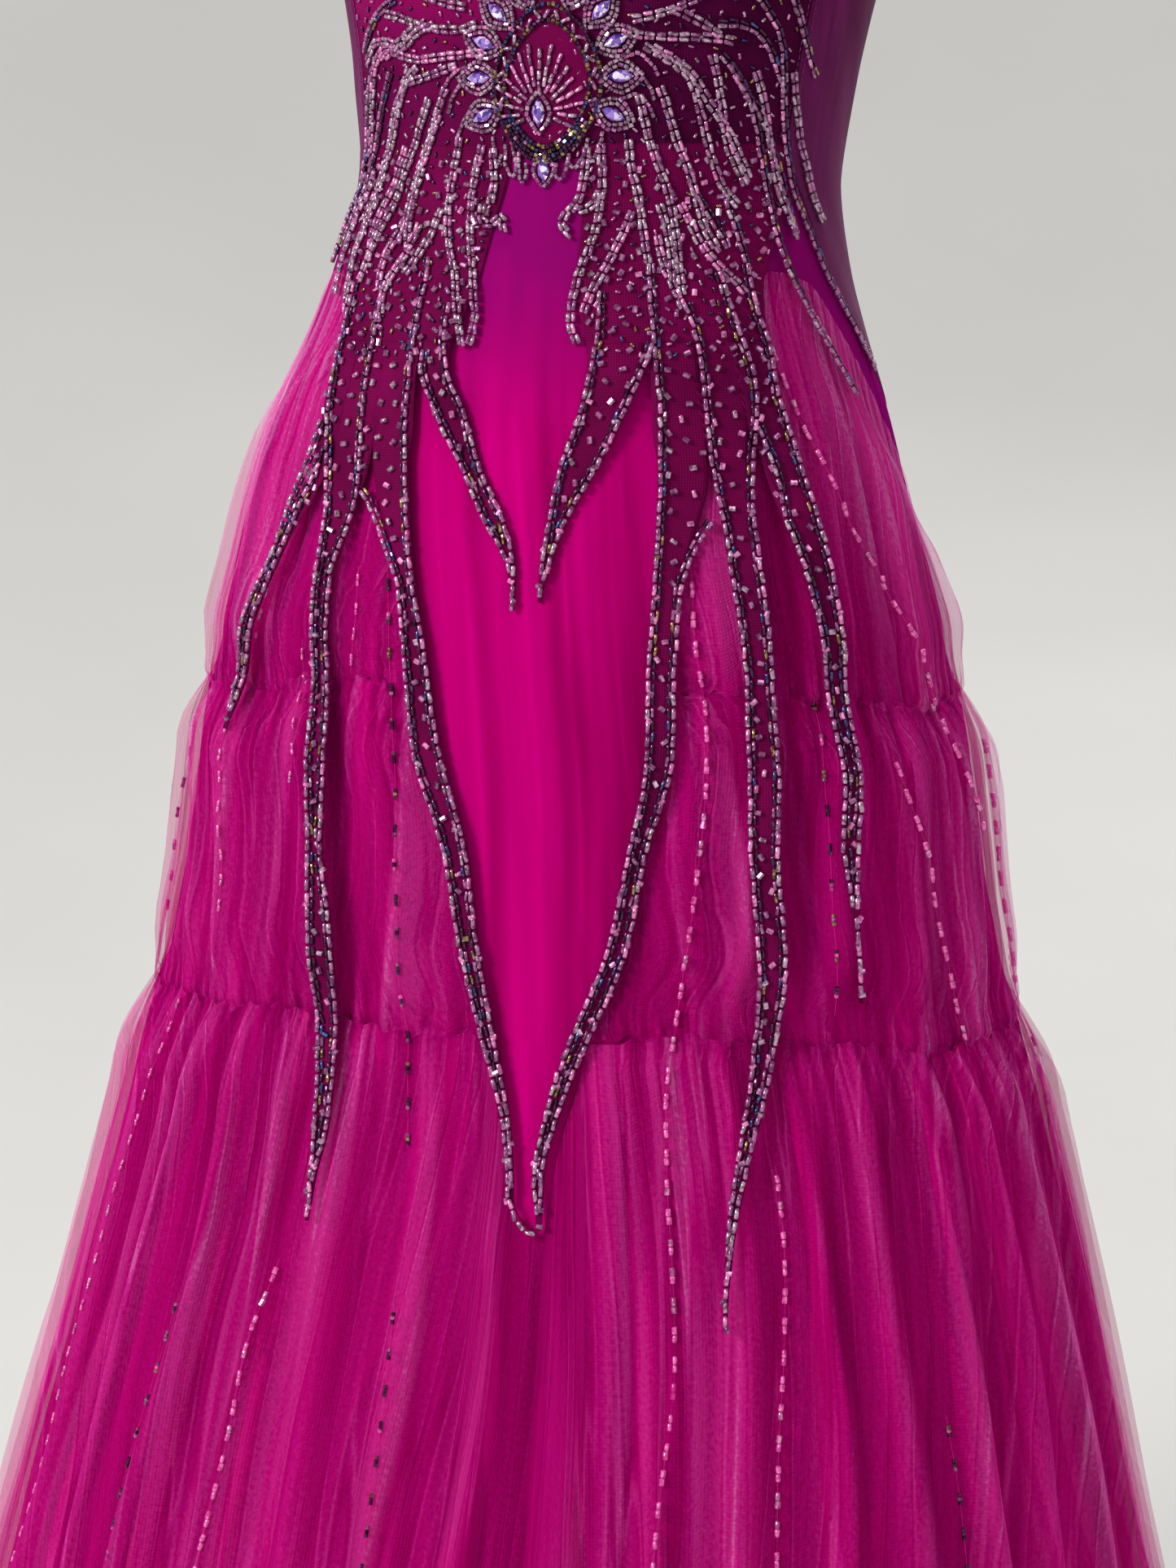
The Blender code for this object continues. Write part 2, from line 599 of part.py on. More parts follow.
def ornament(collection):
    """The oval at the waist: rings of points on the bodice, raised into two frames round a fan."""
    def ring_point(share, angle, out):
        across, up = math.sin(angle), math.cos(angle)
        reach = (abs(across) ** ORNAMENT_POWER + abs(up) ** ORNAMENT_POWER) ** (-1.0 / ORNAMENT_POWER)
        z = ORNAMENT_Z + share * reach * up * ORNAMENT_HALF_HEIGHT
        turn = math.degrees(share * reach * across * ORNAMENT_HALF_WIDTH / section(z, "half_width"))
        return place(turn, z, out)

    angles = [math.tau * i / ORNAMENT_SEGMENTS for i in range(ORNAMENT_SEGMENTS)]
    seat = SATIN + LAID_ON
    shape = bmesh.new()
    faces = []
    for raised in (0.0, 1.0):
        rings = []
        for share, out in ORNAMENT_RINGS[1:]:
            rings.append([shape.verts.new(ring_point(share, a, seat + raised * out)) for a in angles])
        middle = shape.verts.new(ring_point(0.0, 0.0, seat + raised * ORNAMENT_RINGS[0][1]))
        faces.append((middle, rings))
    for middle, rings in faces:
        for i in range(ORNAMENT_SEGMENTS):
            k = (i + 1) % ORNAMENT_SEGMENTS
            shape.faces.new((middle, rings[0][i], rings[0][k]))
            for inner, outer in zip(rings, rings[1:]):
                shape.faces.new((inner[i], outer[i], outer[k], inner[k]))
    under, over = faces[0][1][-1], faces[1][1][-1]
    for i in range(ORNAMENT_SEGMENTS):
        k = (i + 1) % ORNAMENT_SEGMENTS
        shape.faces.new((under[i], under[k], over[k], over[i]))
    bmesh.ops.recalc_face_normals(shape, faces=shape.faces)
    mesh = bpy.data.meshes.new("waist_ornament")
    shape.to_mesh(mesh)
    shape.free()
    return make_object("waist_ornament", mesh, collection, "beads")


def surface_frame(turn, z, out):
    """Axes on the dress: across, up along the cloth and straight out of it."""
    here = place(turn, z, out)
    across = (place(turn + 1.0, z, out) - place(turn - 1.0, z, out)).normalized()
    up = (place(turn, z + FRAME_REACH, out) - place(turn, z - FRAME_REACH, out)).normalized()
    outward = across.cross(up).normalized()
    up = outward.cross(across).normalized()
    frame = Matrix((across, up, outward)).transposed().to_4x4()
    frame.translation = here
    return frame


def stones(collection):
    """Marquise stones that point away from the ornament's centre, each a tapered eight-sided lozenge."""
    for number, degrees in enumerate(STONE_ANGLES, 1):
        angle = math.radians(degrees)
        z = ORNAMENT_Z + STONE_RING_Z * math.cos(angle)
        turn = math.degrees(STONE_RING_X * math.sin(angle) / section(z, "half_width"))
        shape = bmesh.new()
        bmesh.ops.create_cone(shape, cap_ends=True, segments=STONE_SIDES, radius1=0.5,
                              radius2=0.5 * STONE_TABLE, depth=1.0)
        bmesh.ops.translate(shape, verts=shape.verts, vec=(0.0, 0.0, 0.5))
        bmesh.ops.scale(shape, verts=shape.verts, vec=(STONE_WIDTH, STONE_LENGTH, STONE_HEIGHT))
        out = SATIN + (STONE_SEAT_ON_SEAM if z < basque(turn) else STONE_SEAT)
        seat = surface_frame(turn, z, out) @ Matrix.Rotation(-angle, 4, "Z")
        bmesh.ops.transform(shape, verts=shape.verts, matrix=seat)
        name = "stone_%02d" % number
        mesh = bpy.data.meshes.new(name)
        shape.to_mesh(mesh)
        shape.free()
        make_object(name, mesh, collection, "stone")


def box_mesh(name, boxes):
    """A mesh of boxes, each a size and a centre."""
    shape = bmesh.new()
    for size, centre in boxes:
        made = bmesh.ops.create_cube(shape, size=1.0)["verts"]
        bmesh.ops.scale(shape, verts=made, vec=size)
        bmesh.ops.translate(shape, verts=made, vec=centre)
    mesh = bpy.data.meshes.new(name)
    shape.to_mesh(mesh)
    shape.free()
    return mesh


def join_to(thing, helper):
    """Joins a helper's shape to a piece, and leaves the helper out of the picture."""
    helper.matrix_world = thing.matrix_world.copy()
    helper.hide_render = True
    helper.display_type = "WIRE"
    join = thing.modifiers.new(helper.name, "BOOLEAN")
    join.operation = "UNION"
    join.object = helper


def zip_pieces(collection, helpers):
    """The closed zip down the centre back, with its slider at the top and the pull tab hanging free."""
    inner, outer = [], []
    for share in (-1.0, 0.0, 1.0):
        column = []
        for z in even(neckline(BACK), basque(BACK), BODICE_LEVELS):
            column.append((BACK + math.degrees(share * ZIP_HALF_WIDTH / section(z, "half_width")), z))
        inner.append([place(turn, z, 0.0) for turn, z in column])
        outer.append([place(turn, z, ZIP_WALL) for turn, z in column])
    loft_wall("zip_tape", inner, outer, collection, "zip_tape")

    seat = surface_frame(BACK, neckline(BACK) - SLIDER_TOP_DROP, ZIP_WALL + SLIDER_SEAT)
    size = (SLIDER_WIDTH, SLIDER_LENGTH, SLIDER_HEIGHT)
    slider = make_object("zip_slider", box_mesh("zip_slider", [(size, (0.0, 0.0, SLIDER_HEIGHT / 2))]),
                         collection, "zip_metal")
    slider.matrix_world = seat
    lug_x = TAB_BARREL_LENGTH / 2 + LUG_GAP + LUG_THICKNESS / 2
    lug_top = TAB_PIVOT_HEIGHT + LUG_SIZE / 2
    lug_size = (LUG_THICKNESS, LUG_SIZE, lug_top - SLIDER_HEIGHT / 2)
    lug_up = (lug_top + SLIDER_HEIGHT / 2) / 2
    lugs = box_mesh("lugs", [(lug_size, (-lug_x, 0.0, lug_up)), (lug_size, (lug_x, 0.0, lug_up))])
    join_to(slider, make_object("lugs", lugs, helpers, "zip_metal"))

    across = seat.col[0].to_3d()
    outward = across.cross(Vector((0.0, 0.0, 1.0)))
    hanging = Matrix((across, (0.0, 0.0, 1.0), outward)).transposed().to_4x4()
    hanging.translation = seat @ Vector((0.0, 0.0, TAB_PIVOT_HEIGHT))
    plate_size = (TAB_WIDTH, TAB_LENGTH, TAB_THICKNESS)
    plate = box_mesh("zip_pull_tab", [(plate_size, (0.0, -TAB_LENGTH / 2, 0.0))])
    tab = make_object("zip_pull_tab", plate, collection, "zip_metal")
    tab.matrix_world = hanging
    barrel = bmesh.new()
    bmesh.ops.create_cone(barrel, cap_ends=True, segments=TAB_BARREL_SIDES, radius1=TAB_BARREL_RADIUS,
                          radius2=TAB_BARREL_RADIUS, depth=TAB_BARREL_LENGTH)
    bmesh.ops.rotate(barrel, verts=barrel.verts, matrix=Matrix.Rotation(math.radians(90.0), 3, "Y"))
    barrel_mesh = bpy.data.meshes.new("barrel")
    barrel.to_mesh(barrel_mesh)
    barrel.free()
    join_to(tab, make_object("barrel", barrel_mesh, helpers, "zip_metal"))


def build():
    for thing in list(bpy.data.objects):
        bpy.data.objects.remove(thing, do_unlink=True)
    collection = bpy.data.collections.new(NAME)
    helpers = bpy.data.collections.new("cutters")
    for group in (collection, helpers):
        bpy.context.scene.collection.children.link(group)
    bodice_panels(collection)
    underskirt_panels(collection)
    net_tiers(collection)
    beaded_mesh(collection)
    ornament(collection)
    stones(collection)
    zip_pieces(collection, helpers)


build()
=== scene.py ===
"""The looks of the evening dress: its cloth, net, beads, stones and zip, lit on a plain pale floor.

Places on the dress are (turn, z): degrees round it from the centre front, and metres above the waist.
"out" is a distance out from the inner face of the satin, as in the part's own source. Lengths are in metres,
apart from the heights in the tables of strands, loops and strings, which are in millimetres.
"""
import math

import bmesh
import bpy
import numpy as np
from mathutils import Matrix, Vector


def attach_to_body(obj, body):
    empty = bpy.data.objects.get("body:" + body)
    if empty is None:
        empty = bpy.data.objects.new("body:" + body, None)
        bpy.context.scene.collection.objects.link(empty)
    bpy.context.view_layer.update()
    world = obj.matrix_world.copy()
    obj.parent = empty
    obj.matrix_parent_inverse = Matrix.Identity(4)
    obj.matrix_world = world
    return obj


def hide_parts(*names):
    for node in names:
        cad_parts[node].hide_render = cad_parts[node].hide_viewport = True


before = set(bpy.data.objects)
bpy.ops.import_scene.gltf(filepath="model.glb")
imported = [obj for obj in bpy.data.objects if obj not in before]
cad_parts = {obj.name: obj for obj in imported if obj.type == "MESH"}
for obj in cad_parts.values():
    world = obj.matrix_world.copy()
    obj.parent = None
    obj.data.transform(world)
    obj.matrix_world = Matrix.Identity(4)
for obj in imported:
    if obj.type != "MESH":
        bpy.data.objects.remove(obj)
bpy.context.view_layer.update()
DRESS = "dress"
TAB = "pull_tab"

# The camera: a telephone held level with the hips, a little to the right
CAMERA_AZIMUTH = 14.0
CAMERA_ELEVATION = 10.0
CAMERA_DISTANCE = 1.70
CAMERA_TARGET = (0.0, 0.0, -0.335)
CAMERA_LENS = 69.9
CAMERA_FILM = 36.0
# Square lights: name, place, what each points at, size, power, colour
LIGHTS = (
    ("key", (-2.2, -2.6, 1.3), (0.0, 0.0, -0.3), 1.1, 118.0, (1.0, 0.99, 0.97)),
    ("fill", (2.4, -2.2, 0.5), (0.0, 0.0, -0.4), 1.4, 7.0, (0.97, 0.98, 1.0)),
    ("top", (0.0, 0.4, 4.2), (0.0, 0.0, -0.4), 4.0, 130.0, (1.0, 1.0, 1.0)),
    ("back", (0.6, 3.4, 1.6), (0.0, 0.0, -0.3), 2.0, 40.0, (1.0, 1.0, 1.0)),
)

# Walls and gaps, as in the solids
SATIN = 0.0012
NET = 0.0010
SEAM = 0.0004
LAID_ON = 0.0006
LAID_ON_NET = 0.0016
NET_EDGE_GAP = 0.0010
COVER_START = 0.050
COVER_RISE = 0.025
V_NEARBY = 2.5

# Heights
HEM_Z = -1.060
NET_HEM_Z = -1.066
TIER_1_SEAM_Z = -0.268
TIER_2_SEAM_Z = -0.450
# The top of the V between the net's two front edges
NET_V_TOP_Z = -0.10

# Turns of the seams
BODICE_SIDE_FRONT = 60.0
BODICE_SIDE_BACK = 115.0
BODICE_END = 178.0
SKIRT_SIDE = 85.0
BACK = 180.0
PANEL_END = 0.12
# The bodice's panels meet at a shallow groove: where it ends beside the seam, in degrees, and its depth
SEAM_MEET = 0.015
GROOVE_ENDS = (0.30, 0.75)
GROOVE_DEPTH = 0.0005
# Panels of the bodice: name, first and last turn, columns of points, material, how deep its drag lines are
BODICE_PANELS = (
    ("bodice_front", -BODICE_SIDE_FRONT, BODICE_SIDE_FRONT, 91, "bodice_mesh", 0.0),
    ("bodice_side_right", BODICE_SIDE_FRONT, BODICE_SIDE_BACK, 41, "side_satin", 0.0007),
    ("bodice_back_right", BODICE_SIDE_BACK, BODICE_END, 45, "side_satin", 0.0005),
    ("bodice_side_left", -BODICE_SIDE_BACK, -BODICE_SIDE_FRONT, 41, "side_satin", 0.0007),
    ("bodice_back_left", -BODICE_END, -BODICE_SIDE_BACK, 45, "side_satin", 0.0005),
)
BODICE_ROWS = 44
# Panels of the satin under the net: name, first and last turn, columns and rows of points, and how much
# closer together the points are towards the centre front and towards the top
UNDERSKIRT_PANELS = (
    ("underskirt_front", -SKIRT_SIDE, SKIRT_SIDE, 241, 96, 0.55, 1.3),
    ("underskirt_back_right", SKIRT_SIDE, BACK, 41, 60, 0.0, 1.0),
    ("underskirt_back_left", -BACK, -SKIRT_SIDE, 41, 60, 0.0, 1.0),
)
# Panels of the lowest tier of net: name, first and last turn, columns and rows of points
LOW_NET_PANELS = (
    ("net_tier_3_front", -SKIRT_SIDE, SKIRT_SIDE, 561, 54),
    ("net_tier_3_back", SKIRT_SIDE, 360.0 - SKIRT_SIDE, 461, 46),
)

# The inner face of the satin, level by level
SECTION_COLUMNS = ("z", "centre_x", "half_width", "front", "back", "front_line_turn")
SECTIONS = (
    (0.240, 0.012, 0.146, 0.104, 0.098, -2.0),
    (0.170, 0.012, 0.154, 0.114, 0.103, -2.0),
    (0.120, 0.012, 0.148, 0.110, 0.098, -2.0),
    (0.085, 0.011, 0.141, 0.105, 0.094, -2.0),
    (0.050, 0.009, 0.135, 0.100, 0.091, -2.0),
    (0.000, 0.006, 0.130, 0.096, 0.092, -2.0),
    (-0.050, 0.001, 0.140, 0.101, 0.104, -1.5),
    (-0.100, -0.002, 0.157, 0.107, 0.120, -1.0),
    (-0.150, -0.004, 0.173, 0.111, 0.135, 0.0),
    (-0.200, -0.005, 0.184, 0.114, 0.148, 1.0),
    (-0.268, -0.006, 0.197, 0.116, 0.161, 2.0),
    (-0.330, -0.005, 0.209, 0.118, 0.173, 3.0),
    (-0.400, -0.006, 0.222, 0.120, 0.189, 4.0),
    (-0.450, -0.007, 0.235, 0.123, 0.201, 4.5),
    (-0.500, -0.007, 0.248, 0.130, 0.214, 5.0),
    (-0.600, -0.008, 0.273, 0.151, 0.244, 5.0),
    (-0.800, -0.015, 0.319, 0.199, 0.308, 5.0),
    (-1.070, -0.018, 0.378, 0.265, 0.390, 5.0),
)
CUP_OUT = 0.014
CUP_TURN = 32.0
CUP_TURN_SPREAD = 19.0
CUP_Z = 0.160
CUP_Z_SPREAD = 0.050

# Edges that run round the dress: (turn, z)
NECKLINE = ((0, 0.196), (22, 0.218), (42, 0.222), (70, 0.205), (100, 0.176), (140, 0.158), (180, 0.152))
BASQUE = ((0, 0.005), (58, 0.005), (66, -0.012), (78, -0.070), (88, -0.100), (115, -0.138), (180, -0.160))
NET_TOP_RIGHT = ((28, -0.100), (46, -0.052), (58, -0.058), (70, -0.095), (80, -0.135), (96, -0.172),
                 (125, -0.196), (180, -0.208))
NET_TOP_LEFT = ((27, -0.100), (44, -0.052), (58, -0.052), (70, -0.062), (82, -0.078), (98, -0.120),
                (125, -0.180), (180, -0.208))
NET_V = ((-9.5, -0.4505), (-7.0, -0.490), (-4.5, -0.545), (-1.0, -0.556), (0.8, -0.503), (3.0, -0.475),
         (5.0, -0.4505))
# The edge of the net beside the V: (z, turn)
NET_EDGE_RIGHT = ((-0.100, 28.0), (-0.150, 26.5), (-0.200, 22.5), (-0.268, 19.6), (-0.300, 18.2),
                  (-0.350, 13.2), (-0.400, 9.8), (-0.450, 4.2))
NET_EDGE_LEFT = ((-0.100, 27.0), (-0.150, 25.0), (-0.200, 21.8), (-0.268, 18.4), (-0.300, 17.0),
                 (-0.350, 13.2), (-0.400, 11.0), (-0.450, 8.6))

# How far the net stands off the satin, and how deep it folds
NET_STAND_COLUMNS = ("z", "side", "front", "fold")
NET_STAND = (
    (-0.050, 0.001, 0.000, 0.0015),
    (-0.100, 0.003, 0.000, 0.0025),
    (-0.150, 0.008, 0.000, 0.0035),
    (-0.200, 0.014, 0.000, 0.0040),
    (-0.235, 0.017, 0.000, 0.0035),
    (-0.268, 0.011, 0.000, 0.0022),
    (-0.310, 0.020, 0.000, 0.0045),
    (-0.400, 0.022, 0.000, 0.0050),
    (-0.450, 0.011, 0.000, 0.0025),
    (-0.500, 0.020, 0.000, 0.0055),
    (-0.600, 0.023, 0.003, 0.0070),
    (-0.800, 0.025, 0.012, 0.0095),
    (-1.070, 0.027, 0.019, 0.0130),
)
NET_STAND_REACH = 45.0
NET_TOP_REACH = 0.070
TIER_3_STAND_FROM = 6.0
FOLD_LIMIT = 0.75
TIER_1_FOLDS = 7
TIER_2_FOLDS = 12
TIER_3_FOLDS = 18
# What makes each tier's folds its own, from the top tier down, and each layer's
TIER_SEEDS = (1.0, 4.0, 7.0)
LAYER_SEED = 3.1
FOLD_WIDTHS = (1.00, 0.78, 1.22, 0.90, 1.15, 0.84, 1.10)
FOLD_HEIGHTS = (1.00, 0.75, 1.10, 0.85, 1.15)
FOLD_VALLEY = 0.5

# Soft folds of the satin inside the V
WINDOW_FOLDS = 7
WINDOW_TURN = 24.0
WINDOW_FOLD_OUT = 0.0012
WINDOW_FADE = 8.0
WINDOW_TOP_Z = -0.08
WINDOW_TOP_FADE = 0.10
WINDOW_END_Z = -0.80
WINDOW_END_FADE = 0.25
WINDOW_SPARE_TURN = 4.0
WINDOW_SPARE_Z = 0.02
# The bigger folds there: how deep, and the wavelengths of the broad ones, the finer ones and the creases
WINDOW_DRAPE = 0.0034
DRAPE_BROAD = 0.034
DRAPE_FINE = 0.0165
DRAPE_CREASE = 0.0085

# Layers of net, inner to outer: share of the way out, share of the fold's depth, material, and how fine its
# grid of points is beside the outer one's
NET_LAYERS = (
    ("inner", 0.36, 0.60, "net_lining", 0.55),
    ("middle", 0.62, 0.85, "net_middle", 0.75),
    ("outer", 1.00, 1.00, "net_veil", 1.00),
)
# Pleats that fan out from a gathered seam: how far apart, how deep, how far they run, how strong the painted
# highlight on their ridges is
PLEATS = (
    (0.0075, 0.0015, 0.034, 0.62),
    (0.0145, 0.0022, 0.100, 0.54),
    (0.0330, 0.0034, 0.600, 0.42),
)
# The sharp edge of a pleat, as a share of its width, and how much its painted lightness differs from its
# neighbours'
PLEAT_EDGE = 0.11
PLEAT_STEP = 0.34
# How lively the net's fine grain is. Its thin creases, each a painted highlight with a painted shadow beside
# it:
# (place in the noise, grey), and how many to a streak
NET_GRAIN = 0.6
CREASE_LINE = ((0.445, 0.50), (0.470, 0.20), (0.490, 0.50), (0.510, 0.88), (0.535, 0.50))
CREASES_ACROSS = 0.42
# How much paler the outer net is painted above the first seam towards its sides, and on the right, the side
# that
# faces away from the light: a painted sheen, for the light that net scatters where it is seen edge-on
UPPER_PAINTED_SHEEN = 0.28
SIDE_PAINTED_SHEEN = 0.18
# The net's plain shade, and the shadows along a gathered seam and a hem: how dark, how far they reach
NET_SHADE = 0.43
SEAM_SHADOW = (0.10, 0.0065)
HEM_SHADOW = (0.05, 0.0045)
# How far a tier is tucked in above its seam, and how deep; how high its hem turns in, and how far
SEAM_TUCK = 0.003
SEAM_TUCK_IN = 0.0009
HEM_TURN = 0.005
HEM_TURN_IN = 0.0022
# The lowest tier has no seam below it, so the net is told of one this far down
NO_SEAM_BELOW = 9.0
# How far a gathered seam sways up and down, and the small steps in it
SEAM_SWAY = 0.0022
SEAM_STEPS = 0.0052
# How far to each side a seam pinches the net, and the groove along it
SEAM_PINCH = 0.012
SEAM_GROOVE = 0.0013
SEAM_GROOVE_REACH = 0.004
# Where the net stands off less than this, what shapes it fades away
SMALL_ROOM = 0.006
# How far a seam of the net hangs down round the sides: left, right
SEAM_DROPS = {TIER_1_SEAM_Z: (0.009, 0.010), TIER_2_SEAM_Z: (0.001, 0.006)}
SEAM_DROP_FROM = 26.0
# How far out the net hangs, as a share of its room: each tier falls inwards from its gathers
NET_HANG = (
    (-0.050, 1.00), (-0.150, 0.95), (-0.215, 0.74), (-0.255, 0.92), (-0.270, 1.12), (-0.290, 1.04),
    (-0.330, 0.84), (-0.400, 0.66), (-0.436, 0.88), (-0.452, 1.12), (-0.475, 1.06), (-0.520, 0.80),
    (-0.600, 0.78), (-0.800, 0.86), (-1.070, 1.00),
)
HANG_REACH = 0.040
# How far the net swells out between the leaves that press it down
PUFF = 0.0045
PUFF_REACH = 0.018
PUFF_SEAM = 0.020
PUFF_END = 64.0
# How far the net rises under the beads that close the V
V_TIP_LIFT = 0.006

CURVE_STEPS = 1500

# Pointed leaves of beaded mesh: (z, turn of the edge nearest the front, turn of the other edge)
LEAVES = {
    "leaf_right_1": (
        (-0.0955, 11.5, 22.0), (-0.125, 9.0, 17.5), (-0.150, 5.5, 12.5), (-0.178, 3.2, 6.6),
        (-0.205, 1.6, 3.0), (-0.220, 1.2, 1.8),
    ),
    "leaf_right_2": (
        (-0.0955, 24.0, 31.6), (-0.150, 22.4, 31.4), (-0.200, 20.0, 25.4), (-0.250, 17.6, 22.4),
        (-0.300, 15.6, 20.2), (-0.350, 11.6, 14.6), (-0.400, 7.8, 11.0), (-0.450, 2.2, 5.0),
        (-0.480, -0.6, 1.6), (-0.520, -2.4, -0.9), (-0.547, -1.6, -0.9),
    ),
    "leaf_right_3": (
        (-0.0955, 32.2, 40.0), (-0.150, 32.2, 38.8), (-0.200, 32.4, 38.2), (-0.250, 32.8, 37.8),
        (-0.300, 31.0, 36.2), (-0.350, 29.0, 33.6), (-0.400, 28.4, 32.8), (-0.450, 26.2, 29.6),
        (-0.500, 22.6, 24.6), (-0.550, 20.4, 21.4), (-0.590, 19.8, 20.3),
    ),
    "leaf_right_4": (
        (-0.0955, 40.6, 48.0), (-0.150, 41.4, 49.0), (-0.200, 44.6, 50.4), (-0.250, 46.0, 50.4),
        (-0.300, 45.4, 49.0), (-0.350, 42.6, 45.4), (-0.385, 42.8, 43.8), (-0.425, 42.2, 42.8),
    ),
    "leaf_left_1": (
        (-0.0955, 15.5, 21.5), (-0.125, 10.8, 17.0), (-0.150, 8.0, 12.0), (-0.178, 3.8, 7.8),
        (-0.202, 2.2, 3.8), (-0.224, 2.6, 3.2),
    ),
    "leaf_left_2": (
        (-0.0955, 23.0, 30.4), (-0.150, 21.4, 29.2), (-0.200, 19.8, 23.6), (-0.250, 16.6, 21.0),
        (-0.300, 14.4, 19.4), (-0.350, 11.0, 15.0), (-0.400, 9.4, 12.6), (-0.450, 7.0, 9.2),
        (-0.500, 5.0, 6.2), (-0.535, 4.4, 5.4),
    ),
    "leaf_left_3": (
        (-0.0955, 31.0, 38.6), (-0.150, 30.0, 38.2), (-0.200, 34.6, 38.2), (-0.250, 34.0, 37.6),
        (-0.300, 33.0, 36.8), (-0.350, 32.4, 35.2), (-0.400, 30.0, 34.0), (-0.450, 28.6, 32.0),
        (-0.500, 27.6, 29.8), (-0.530, 28.2, 29.2), (-0.550, 28.2, 28.7),
    ),
    "leaf_left_4": (
        (-0.0955, 39.2, 45.0), (-0.150, 39.2, 42.6), (-0.200, 45.6, 48.4), (-0.250, 51.0, 54.2),
        (-0.278, 53.0, 55.4), (-0.296, 53.6, 54.6),
    ),
}
MESH = 0.0010
# How far the leaves' cloth reaches past their edges where neighbours meet, above this height
LEAF_JOIN = 0.9
LEAF_JOIN_Z = -0.150
LEAF_LAP = 0.008
YOKE_REACH = 0.007
# The mesh on each hip: (z, near turn, far turn)
YOKES = {
    "hip_yoke_right": ((0.005, 8.0, 60.0), (-0.027, 9.5, 57.0), (-0.059, 9.0, 50.0), (-0.096, 11.5, 48.0)),
    "hip_yoke_left": ((0.005, 8.0, 60.0), (-0.027, 10.0, 60.0), (-0.059, 12.0, 50.0), (-0.096, 15.5, 45.0)),
}

# How far the mesh over the hips laps up over the bodice's edge
YOKE_LAP = 0.007

# Double rows of beads along the leaves' edges: which edge, the height from which the row follows it, and
# its places above that, as (turn, z) with the turn from the centre front
LEAF_LINES = (
    ("leaf_right_1", "near", -0.100, ((14.0, -0.062), (13.8, -0.080), (13.0, -0.090))),
    ("leaf_right_1", "far", -0.105, ((24.0, -0.088), (22.8, -0.095))),
    ("leaf_right_2", "near", -0.110, ((24.0, -0.048), (24.2, -0.080))),
    ("leaf_right_2", "far", -0.205, ((30.8, -0.178), (28.6, -0.186), (26.8, -0.194))),
    ("leaf_right_3", "near", -0.175, ((31.2, -0.068), (32.3, -0.080), (33.0, -0.100), (32.6, -0.120),
                                      (32.1, -0.150))),
    ("leaf_right_3", "far", -0.170, ((39.4, -0.052), (41.0, -0.068), (42.2, -0.085), (43.3, -0.100),
                                     (43.0, -0.115), (41.6, -0.130), (40.0, -0.143), (39.0, -0.156))),
    ("leaf_right_4", "near", -0.170, ((42.0, -0.130), (43.0, -0.145), (43.6, -0.158))),
    ("leaf_right_4", "far", -0.105, ((46.2, -0.048), (46.8, -0.066), (47.6, -0.080), (48.2, -0.092))),
    ("leaf_left_1", "near", -0.100, ((17.2, -0.068), (16.9, -0.085))),
    ("leaf_left_1", "far", -0.115, ((21.2, -0.092), (20.6, -0.104))),
    ("leaf_left_2", "near", -0.100, ((25.0, -0.045), (24.2, -0.065), (23.8, -0.085))),
    ("leaf_left_2", "far", -0.205, ((31.0, -0.166), (29.6, -0.170), (27.6, -0.179), (25.8, -0.190))),
    ("leaf_left_3", "near", -0.200, ((35.2, -0.066), (34.6, -0.080), (34.0, -0.100), (33.4, -0.120),
                                     (32.4, -0.140), (31.7, -0.158), (32.4, -0.178))),
    ("leaf_left_3", "far", -0.170, ((46.0, -0.058), (45.0, -0.080), (44.0, -0.100), (42.4, -0.120),
                                    (41.0, -0.135), (39.5, -0.150))),
    ("leaf_left_4", "near", -0.190, ((41.0, -0.152), (43.0, -0.170))),
    ("leaf_left_4", "far", -0.190, ((43.2, -0.130), (44.0, -0.148), (45.6, -0.168))),
)

